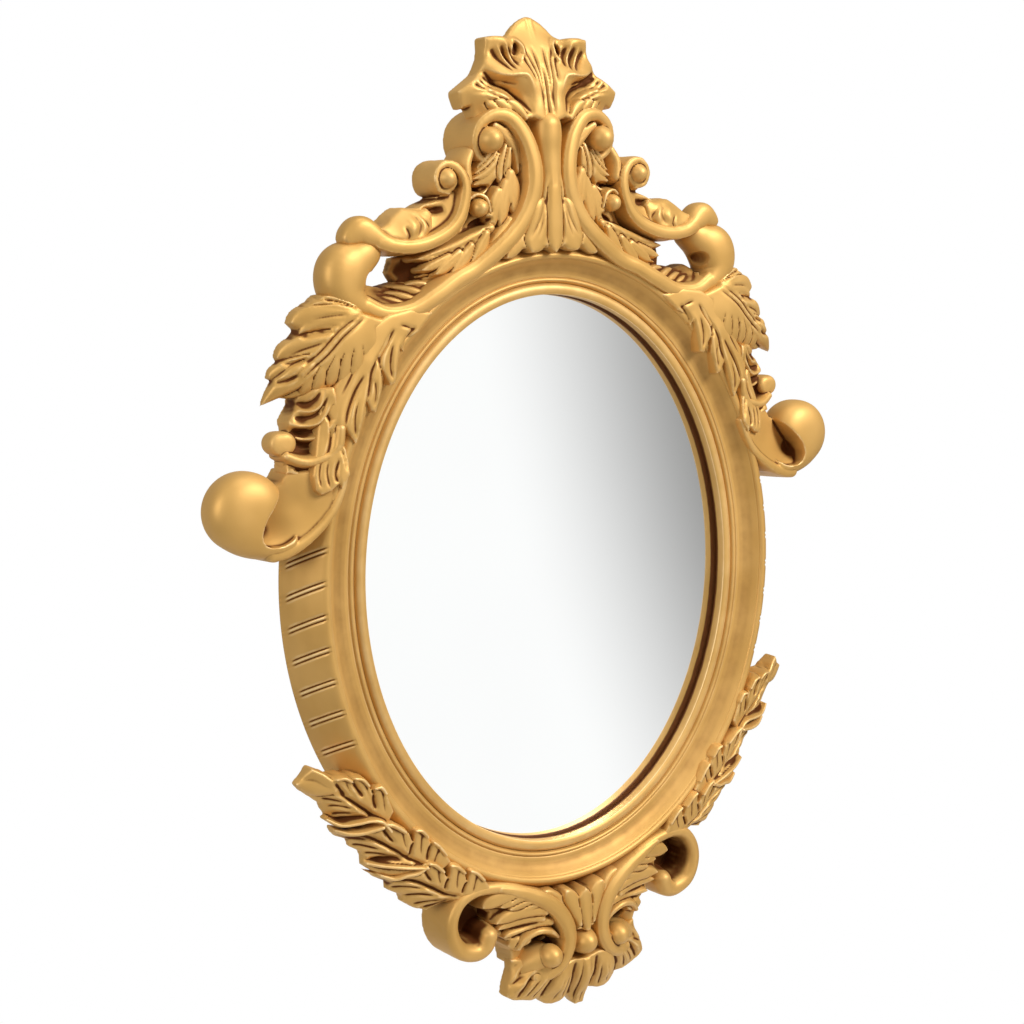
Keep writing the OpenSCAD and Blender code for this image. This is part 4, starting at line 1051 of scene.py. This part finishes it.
def garland_upper(c):
    c.sheet(
        [(232, -119), (221, -107), (213, -112), (207, -118), (203, -116.5), (198, -118),
         (194, -121.5), (192, -117.5), (187, -119.5), (182, -125), (178.5, -134), (177, -127.5),
         (173, -128), (169, -134), (166, -142), (163, -150), (168, -160), (173, -157.5),
         (181, -155), (191, -155.5), (201, -156), (207, -152), (208, -147), (213, -141),
         (214, -136), (221, -130), (227, -125)],
        [(232, -119, 20), (221, -107, 30), (207, -118, 36), (194, -121, 38), (182, -126, 39.5),
         (172, -130, 40.5), (164, -147, 40), (169, -158, 37), (190, -152, 33), (206, -150, 22),
         (212, -140, 22), (226, -124, 20), (200, -138, 34), (214, -122, 31), (186, -138, 38.5)])
    c.petals(3, 3.5, (202, -125, 232, -118, 15, 34.5, 22, 1), wide=0.5)
    c.crease(1.5, 6, [(206, -126), (192, -138), (181, -148), (171, -158)])
    c.crease(1.1, 4, [(194, -121), (190, -128), (187, -134)],
        [(178.5, -133), (178, -140), (177, -146)], [(207, -119), (202, -126), (198, -131)])
    c.crease(1.1, 3, [(215, -131), (205, -134), (196, -138)],
        [(210, -138), (201, -139), (192, -143)], [(207, -145), (199, -145), (190, -147)])
    c.crease(0.8, 1.2, [(185, -123), (182, -133), (178, -142)],
        [(172, -130), (171, -140), (170, -150)], [(200, -119), (196, -128), (191, -136)])
    c.crease(1.6, 5, [(206, -151), (198, -150), (188, -150), (178, -152)])
    c.band([(211, -148, 1, 27), (202, -153.5, 1.2, 32), (191, -154, 1.3, 36),
        (181, -153.5, 1.3, 39), (173, -156, 1.3, 41), (167, -164, 1.2, 41.5)], crown=0.9, moat=3)
    c.lips([(206, -117, 1, 38), (200, -117, 1.2, 39.4), (195, -120.5, 0.9, 39.6)],
        [(192.5, -118.5, 1, 40.4), (187, -120.5, 1.2, 41.2), (182.5, -126, 1, 41.4)],
        [(177.5, -129, 1, 42), (173, -129.2, 1.3, 42.4), (169.5, -134.5, 1, 42.2)])
    c.wash_and_shade((192, -156, 16, 33), (201, -150, 7, 30))


def garland_middle(c):
    c.sheet(
        [(206, -157), (197, -160), (188, -161), (179, -160.5), (173, -158), (167, -158),
         (159, -163.5), (152, -169), (149, -178), (147.5, -167), (143, -168), (137.5, -174),
         (134.5, -183), (133, -179), (129, -183), (124, -190), (118, -200), (126, -206),
         (137, -203), (146, -202), (156, -203), (166, -202), (176, -197), (182, -192), (182, -186),
         (184, -180), (192, -175), (193, -169), (203, -164)],
        [(205, -158, 24), (192, -161, 32), (178, -161, 37), (166, -159, 40), (154, -167, 41),
         (143, -169, 41.5), (130, -182, 41.5), (119, -200, 40.5), (128, -204, 38.5),
         (146, -200, 36.5), (168, -200, 29), (181, -190, 22), (190, -173, 22), (202, -164, 21),
         (172, -178, 34), (150, -184, 39.5)])
    c.crease(1.5, 6, [(196, -163), (180, -168), (162, -181), (150, -191), (136, -200)])
    c.crease(1.1, 4, [(149.5, -177), (151, -184), (151, -189)],
        [(135, -182), (137, -189), (138, -195)], [(173, -160), (168, -168), (163, -176)])
    c.crease(1.1, 3, [(200, -166), (188, -168), (176, -173)],
        [(192, -173), (182, -175), (168, -181)], [(184, -181), (174, -182), (160, -187)])
    c.crease(0.8, 1.2, [(158, -166), (156, -176), (153, -184)],
        [(142, -171), (143, -181), (143, -190)], [(128, -186), (131, -193), (133, -199)])
    c.crease(2.2, 7, [(180, -187), (170, -187.5), (160, -189), (150, -194)])
    c.band([(181, -189, 1.1, 27), (172, -192, 1.2, 32), (162, -194.5, 1.3, 36),
        (152, -197, 1.3, 38.5), (138, -200, 1.2, 41)], crown=0.9, moat=3)
    c.band([(205, -157.5, 1.2, 28), (197, -161, 1.5, 32.5), (188, -162, 1.6, 36),
        (179, -161, 1.6, 39), (173, -160, 1.4, 41)], crown=0.9, moat=2)
    c.lips([(170, -158, 1.2, 42), (164, -160.5, 1.5, 42.6), (156, -167, 1.2, 42.8)],
        [(147, -168, 1, 43), (142.5, -169.5, 1.3, 43.4), (138, -175, 1, 43.2)],
        [(133, -180.5, 0.9, 43), (128.5, -185, 1.2, 43.2), (123, -193, 1, 42.6)])
    c.wash_and_shade((168, -187, 10, 33), (160, -199, 14, 33), (190, -160, 16, 31))


def garland_lower(c):
    c.sheet(
        [(181, -196), (170, -201), (162, -204), (154, -202.5), (146, -202), (140, -196),
         (134, -197), (126, -204.5), (121, -213), (119.5, -201), (114, -203.5), (107.5, -210),
         (105, -220), (103, -210), (97, -213), (90, -221), (84, -231), (98, -233), (110, -233),
         (122, -235), (134, -239), (143, -235), (152, -228), (153, -222), (163, -216), (163, -209),
         (174, -202)],
        [(180, -197, 22), (166, -203, 30), (150, -203, 37), (136, -198, 40.5), (122, -207, 41),
         (108, -211, 41.5), (94, -218, 41), (85, -230, 40.5), (100, -232, 39), (120, -233, 35),
         (136, -238, 26), (152, -227, 22), (163, -214, 22), (174, -203, 21), (146, -214, 34),
         (124, -220, 38.5)])
    c.crease(1.5, 6, [(164, -206), (148, -209), (133, -218), (120, -227), (104, -232)])
    c.crease(1.1, 4, [(121, -212), (123, -218), (123, -223)],
        [(105.5, -219), (108, -225), (109, -229)], [(142, -198), (138, -206), (134, -213)])
    c.crease(1.1, 3, [(164, -213), (150, -214), (136, -219)],
        [(154, -222), (142, -222), (128, -226)], [(146, -231), (134, -230), (118, -231)])
    c.crease(0.8, 1.2, [(130, -201), (129, -210), (127, -218)],
        [(113, -206), (114, -216), (114, -224)], [(97, -215), (99, -224), (101, -230)])
    c.crease(2.0, 6, [(140, -236.5), (126, -234.5), (112, -231.5)])
    c.band([(171, -200.5, 1.3, 29), (162, -204.5, 1.5, 33.5), (154, -203, 1.5, 37),
        (146, -202.5, 1.5, 39.5), (139, -199, 1.2, 41.4)], crown=0.9, moat=2)
    c.lips([(137, -196.5, 1.1, 42.4), (132, -199, 1.4, 42.8), (126, -205.5, 1, 43)],
        [(119, -202.5, 1, 43), (114, -204.8, 1.3, 43.4), (108, -211, 1, 43.2)],
        [(102.5, -211, 0.9, 43), (97, -214.5, 1.3, 43), (91, -221.5, 1, 42.6)])
    c.wash_and_shade((124, -235, 9, 34), (162, -204, 12, 31))


def base_scroll(c):
    c.sheet(
        [(74, -233), (104, -234), (120, -246), (122, -262), (112, -280), (94, -286), (80, -276),
         (78, -256)],
        [(84, -240, 14), (104, -240, 10), (114, -256, 9), (104, -276, 9), (90, -270, 12)], moat=0)
    c.band([(56, -240, 4, 42.6), (68, -235, 4.4, 41.6), (82, -231.6, 4.4, 40.6),
        (97, -231, 4.4, 39.8), (110, -236.5, 4.6, 39), (117.5, -249, 5, 38.5),
        (117.5, -263, 5.6, 38.5), (110.5, -275.5, 6.4, 38.5), (98, -280.5, 7, 38.5),
        (89, -278, 7.4, 38.5), (85, -271, 7.4, 38)], crown=0.7)
    c.pod([(104, -280, 6, 37, 2), (96, -280, 7.5, 38, 2), (89, -277, 8.4, 39, 2),
        (85.5, -270, 8.2, 40, 3)], 2.6, 6)
    c.wash_and_shade((98, -257, 24, 37), (92, -262, 10, 36))


def base_inner_scroll(c):
    c.band([(76, -233, 2.6, 41.5), (64, -238, 4.6, 43), (49, -245.5, 5.8, 44),
        (36, -253.5, 6.4, 45), (25.5, -263.5, 6.6, 45.6), (18, -277, 6.6, 46), (16, -290, 6.2, 46),
        (19.5, -302, 5.8, 45), (26, -310.5, 5.4, 44), (35, -315.5, 5, 41), (44, -316, 4, 37)],
        crown=0.5, rim=0.4)
    c.pod([(35, -301.5, 9, 42, 10), (41, -304, 10, 39, 8), (46, -307, 9.5, 35, 6),
        (50, -311, 8, 31, 6)], 2.5, 8)
    c.ball((33, -300), 9.2, 49.5, 1.2)
    c.wash_and_shade((27, -297, 9, 37), (44, -289, 9, 30))


def base_spray(c):
    c.sheet(
        [(60, -237), (84, -237), (92, -246), (82, -254), (82, -262), (74, -274), (64, -283),
         (61, -298), (60, -306), (44, -306), (24, -294), (28, -274), (44, -252)],
        [(68, -240, 36), (86, -243, 30), (80, -258, 29), (72, -272, 29), (62, -284, 29),
         (60, -302, 24), (36, -290, 20), (34, -274, 34), (46, -256, 37), (60, -262, 34)], moat=0)
    c.petals(2, 2.6,
        (36, -252, 62, -257.5, 8.5, 43.5, 38, 1), (44, -248, 68, -253, 8.5, 43.5, 38.5, 1),
        (53, -244, 76, -249, 8.5, 43, 38.5, 1),
        (62, -239, 91, -246, 11.5, 42.6, 35.5, 1, {"wide": 0.6}),
        (36, -262, 80, -262, 10, 42, 36, 4), (38, -268, 77, -268, 8, 40, 34, 3),
        (30, -273, 71, -277, 9, 39.6, 32.5, 4), (50, -284, 66, -286, 10, 35, 29, 0, {"point": 3}),
        point=2.4, wide=0.6, foot=0.7, drop=1.2)
    c.crease(1.5, 4, [(76, -272.5), (66, -271.5), (54, -271), (42, -270.5)])
    c.hollow((38, -290), 12, 6, 8, 0)
    c.band([(58, -289, 2, 34), (52, -281.5, 2.4, 37.6), (42, -278, 2.6, 39.8), (31, -281, 2.4, 40),
        (24, -287, 1.8, 39)], crown=0.8, moat=2)
    c.wash_and_shade((38, -290, 13, 34), (86, -254, 10, 34), (70, -256, 6, 36))


def base_fan(c):
    c.sheet(
        [(-4, -256), (20, -256), (14, -268), (9, -279), (8, -285), (-4, -285)],
        [(0, -260, 45), (16, -258, 43), (8, -276, 44), (0, -278, 46), (0, -284, 44)])
    c.petals(2.2, 2.6,
        (14, -268, 36, -246, 8, 42, 39.5, 2.5, ROUND_TIP),
        (6, -279, 18, -249, 12.5, 45.4, 43.5, 2, ROUND_TIP),
        (0, -284, 0, -251.5, 12, 46.6, 45, 0, ROUND_TIP), foot=0.5)
    c.crease(0.8, 1.8, [(3.4, -282), (4.4, -270), (6.4, -256)],
        [(20, -268), (25, -258), (31, -250)])


def base_ball(c):
    c.pod([(0, -296.8, 12, 51, 0)], 2.2)


def base_palmette(c):
    c.sheet(
        [(-4, -354.5), (0, -355), (4, -353.5), (8, -348), (10, -344.5), (14, -345), (18, -346.5),
         (26, -347.5), (32, -346), (36, -341.5), (37.5, -338.5), (45, -339), (54, -335.5),
         (61, -334), (68, -329), (66, -320), (62, -310), (61, -300), (44, -303), (24, -310),
         (13, -308), (8, -309), (-4, -310)],
        [(0, -311, 42), (0, -325, 42), (0, -340, 34), (0, -354, 27), (9.5, -344, 26),
         (12, -330, 36), (12, -314, 41), (18, -344, 30), (26, -346, 28), (24, -330, 39),
         (24, -314, 42), (37, -338.5, 27), (34, -326, 36), (46, -334, 30), (54, -335, 28),
         (44, -322, 37), (42, -311, 38), (67, -328, 27), (64, -312, 25), (56, -322, 33),
         (54, -307, 27)])
    c.crease(1.7, 5, [(9.5, -345), (10.5, -334), (11, -320), (10, -310)],
        [(37, -339), (34, -328), (30, -318), (26, -312)],
        [(60, -334), (54, -324), (48, -316), (42, -312)])
    c.crease(0.9, 1.8, [(18, -345), (17, -332), (15, -318)], [(27, -344), (23, -330), (20, -316)],
        [(46, -337), (41, -326), (36, -317)], [(53, -334), (47, -324), (41, -316)],
        [(4, -348), (4.6, -332), (4, -316)], [(66, -320), (58, -316), (50, -312)])
    c.swell(2.4, 1.6, [(0, -310), (0, -328), (0, -344)])
    c.swell(2.6, 1.4, [(20, -314), (22, -328), (24, -340)], [(36, -314), (42, -324), (49, -332)])
    c.swell(2.6, 3, [(44, -308), (53, -315), (62, -326)])
    c.swell(2.2, 3, [(50, -303), (58, -309), (65, -319)])
    c.wash_and_shade((11, -328, 6, 38), (33, -326, 6, 38))


# Each piece's least and greatest x and z, and the height of its flat back. Those that start at
# x = 0 are symmetric, and the others are made again for the left half.
PIECES = {
    crest_scroll: ((4, 190), (192, 352), 0),
    crest_column: ((0, 238), (52, 352), 1.5),
    crest_palmette: ((0, 328), (76, 420), 20),
    crest_spray: ((10, 214), (150, 350), 3),
    outer_scroll: ((56, 236), (174, 324), 8),
    outer_leaf: ((80, 246), (148, 292), 9.5),
    shoulder_leaf: ((124, 140), (246, 232), 15),
    flank_leaf: ((100, 80), (218, 214), 6),
    side_curl: ((176, 98), (240, 168), 7),
    side_scroll: ((174, 36), (290, 116), 0),
    garland_upper: ((156, -170), (240, -98), 16),
    garland_middle: ((114, -212), (216, -150), 15),
    garland_lower: ((80, -246), (190, -186), 14),
    base_scroll: ((36, -304), (132, -220), 0),
    base_inner_scroll: ((4, -322), (80, -226), 1.5),
    base_spray: ((18, -322), (104, -232), 3),
    base_fan: ((0, -290), (44, -240), 4),
    base_ball: ((0, -314), (16, -280), 5),
    base_palmette: ((0, -362), (74, -296), 15),
}


def dress_nodes():
    """Materials for the solids that keep their own shapes."""
    silver, board, steel = silvering(), hardboard(), zinc()
    for name, node in frame["nodes"].items():
        if node.hide_render:
            continue
        material = {"mirror_glass": silver, "backing_board": board}.get(name, steel)
        node.data.materials.clear()
        node.data.materials.append(material)


# Camera, floor and light

IMAGE = 1024
SENSOR = 36
FOCAL = 1631.44
CAMERA_AT = (-0.70538, -1.04086, 0.25089)
YAW, PITCH, ROLL = 33.31, -9.278, -3.075

# Each lamp's place, its size and its watts. They all point at the middle of the glass.
LAMPS = {
    "key": ((1.1, -2.0, 1.6), 1.1, 80),
    "side": ((-2.4, -0.4, 0.8), 1.2, 24),
    "top": ((0.2, -0.5, 2.4), 1.2, 14),
}

# The room: its light, its grey and how much of it lies to the left and above, how the border on
# the right leans, and the directions between which each part begins
ROOM_LIGHT = 0.33
ROOM_GREY = (0.25, 0.245, 0.24)
SOFTER_GREY = 0.8
BORDER_LEAN = 0.08
RIGHT_FROM, LEFT_FROM, ABOVE_FROM = (0.525, 0.655), (0.0, 0.35), (0.02, 0.3)

FLOOR_RADIUS = 1.0
FLOOR_Z = -1.0
FLOOR_SIDES = 96


def camera():
    data = bpy.data.cameras.new("camera")
    data.sensor_width = SENSOR
    data.lens = FOCAL / IMAGE * SENSOR
    data.clip_start = 0.01
    made = bpy.data.objects.new("camera", data)
    bpy.context.scene.collection.objects.link(made)
    y, p, r = (math.radians(v) for v in (YAW, PITCH, ROLL))
    look = Vector((math.sin(y) * math.cos(p), math.cos(y) * math.cos(p), math.sin(p)))
    level = Vector((math.cos(y), -math.sin(y), 0))
    upright = level.cross(look)
    right = level * math.cos(r) + upright * math.sin(r)
    up = upright * math.cos(r) - level * math.sin(r)
    turned = Matrix((right, up, -look)).transposed()
    made.matrix_world = Matrix.Translation(CAMERA_AT) @ turned.to_4x4()
    bpy.context.scene.camera = made


def lamp(name, place, size, power):
    data = bpy.data.lights.new(name, "AREA")
    data.shape = "DISK"
    data.size = size
    data.energy = power
    made = bpy.data.objects.new(name, data)
    made.location = place
    made.rotation_euler = (-Vector(place)).to_track_quat("-Z", "Y").to_euler()
    bpy.context.scene.collection.objects.link(made)


def choose(tree, factor, first, second):
    return add_node(tree, "MixShader", {0: factor, 1: first.outputs[0], 2: second.outputs[0]})


def world():
    """White behind the object. Reflections see white ahead, and grey aside and above."""
    made = bpy.data.worlds.new("studio")
    bpy.context.scene.world = made
    made.use_nodes = True
    tree = made.node_tree
    tree.nodes.clear()
    way = add_node(tree, "SeparateXYZ", {0: add_node(tree, "TexCoord").outputs["Generated"]})
    across, up = way.outputs["X"], way.outputs["Z"]
    across = maths(tree, "ADD", across, maths(tree, "MULTIPLY", up, BORDER_LEAN))
    left = maths(tree, "SUBTRACT", 1.0, ramp(tree, across, *LEFT_FROM))
    other = maths(tree, "MAXIMUM", left, ramp(tree, up, *ABOVE_FROM))
    grey = maths(tree, "MAXIMUM", ramp(tree, across, *RIGHT_FROM),
                 maths(tree, "MULTIPLY", other, SOFTER_GREY))
    light = add_node(tree, "Background", {"Color": (*WHITE, 1), "Strength": ROOM_LIGHT})
    seen = add_node(tree, "Background", {"Color": (*WHITE, 1)})
    glass = add_node(tree, "Background", {"Color": blend(tree, grey, WHITE, ROOM_GREY)})
    rays = add_node(tree, "LightPath").outputs
    mirrored = maths(tree, "MAXIMUM", rays["Is Glossy Ray"], rays["Is Transmission Ray"])
    room = choose(tree, mirrored, light, glass)
    shown = choose(tree, rays["Is Camera Ray"], room, seen)
    add_node(tree, "OutputWorld", {0: shown.outputs[0]})


def floor():
    """A pale round floor, well below the mirror."""
    made, tree, shader = new_material("pale floor")
    colour = blend(tree, noise(tree, 4, 2), *FLOOR_GREY)
    feed(tree, shader, {"Base Color": colour, "Roughness": 0.9})
    mesh = bpy.data.meshes.new("floor")
    ring = [(FLOOR_RADIUS * math.cos(a), FLOOR_RADIUS * math.sin(a), FLOOR_Z)
            for a in np.linspace(0, 2 * math.pi, FLOOR_SIDES, endpoint=False)]
    mesh.from_pydata(ring, [], [list(range(FLOOR_SIDES))])
    mesh.materials.append(made)
    thing = bpy.data.objects.new("floor", mesh)
    bpy.context.scene.collection.objects.link(thing)


moulding()
for shape, (low, high, back) in PIECES.items():
    carving = Carving(low, high, back)
    shape(carving)
    carve(carving, shape.__name__)
dress_nodes()
camera()
world()
floor()
for label, (place, size, power) in LAMPS.items():
    lamp(label, place, size, power)

bpy.context.scene.view_settings.view_transform = "Standard"
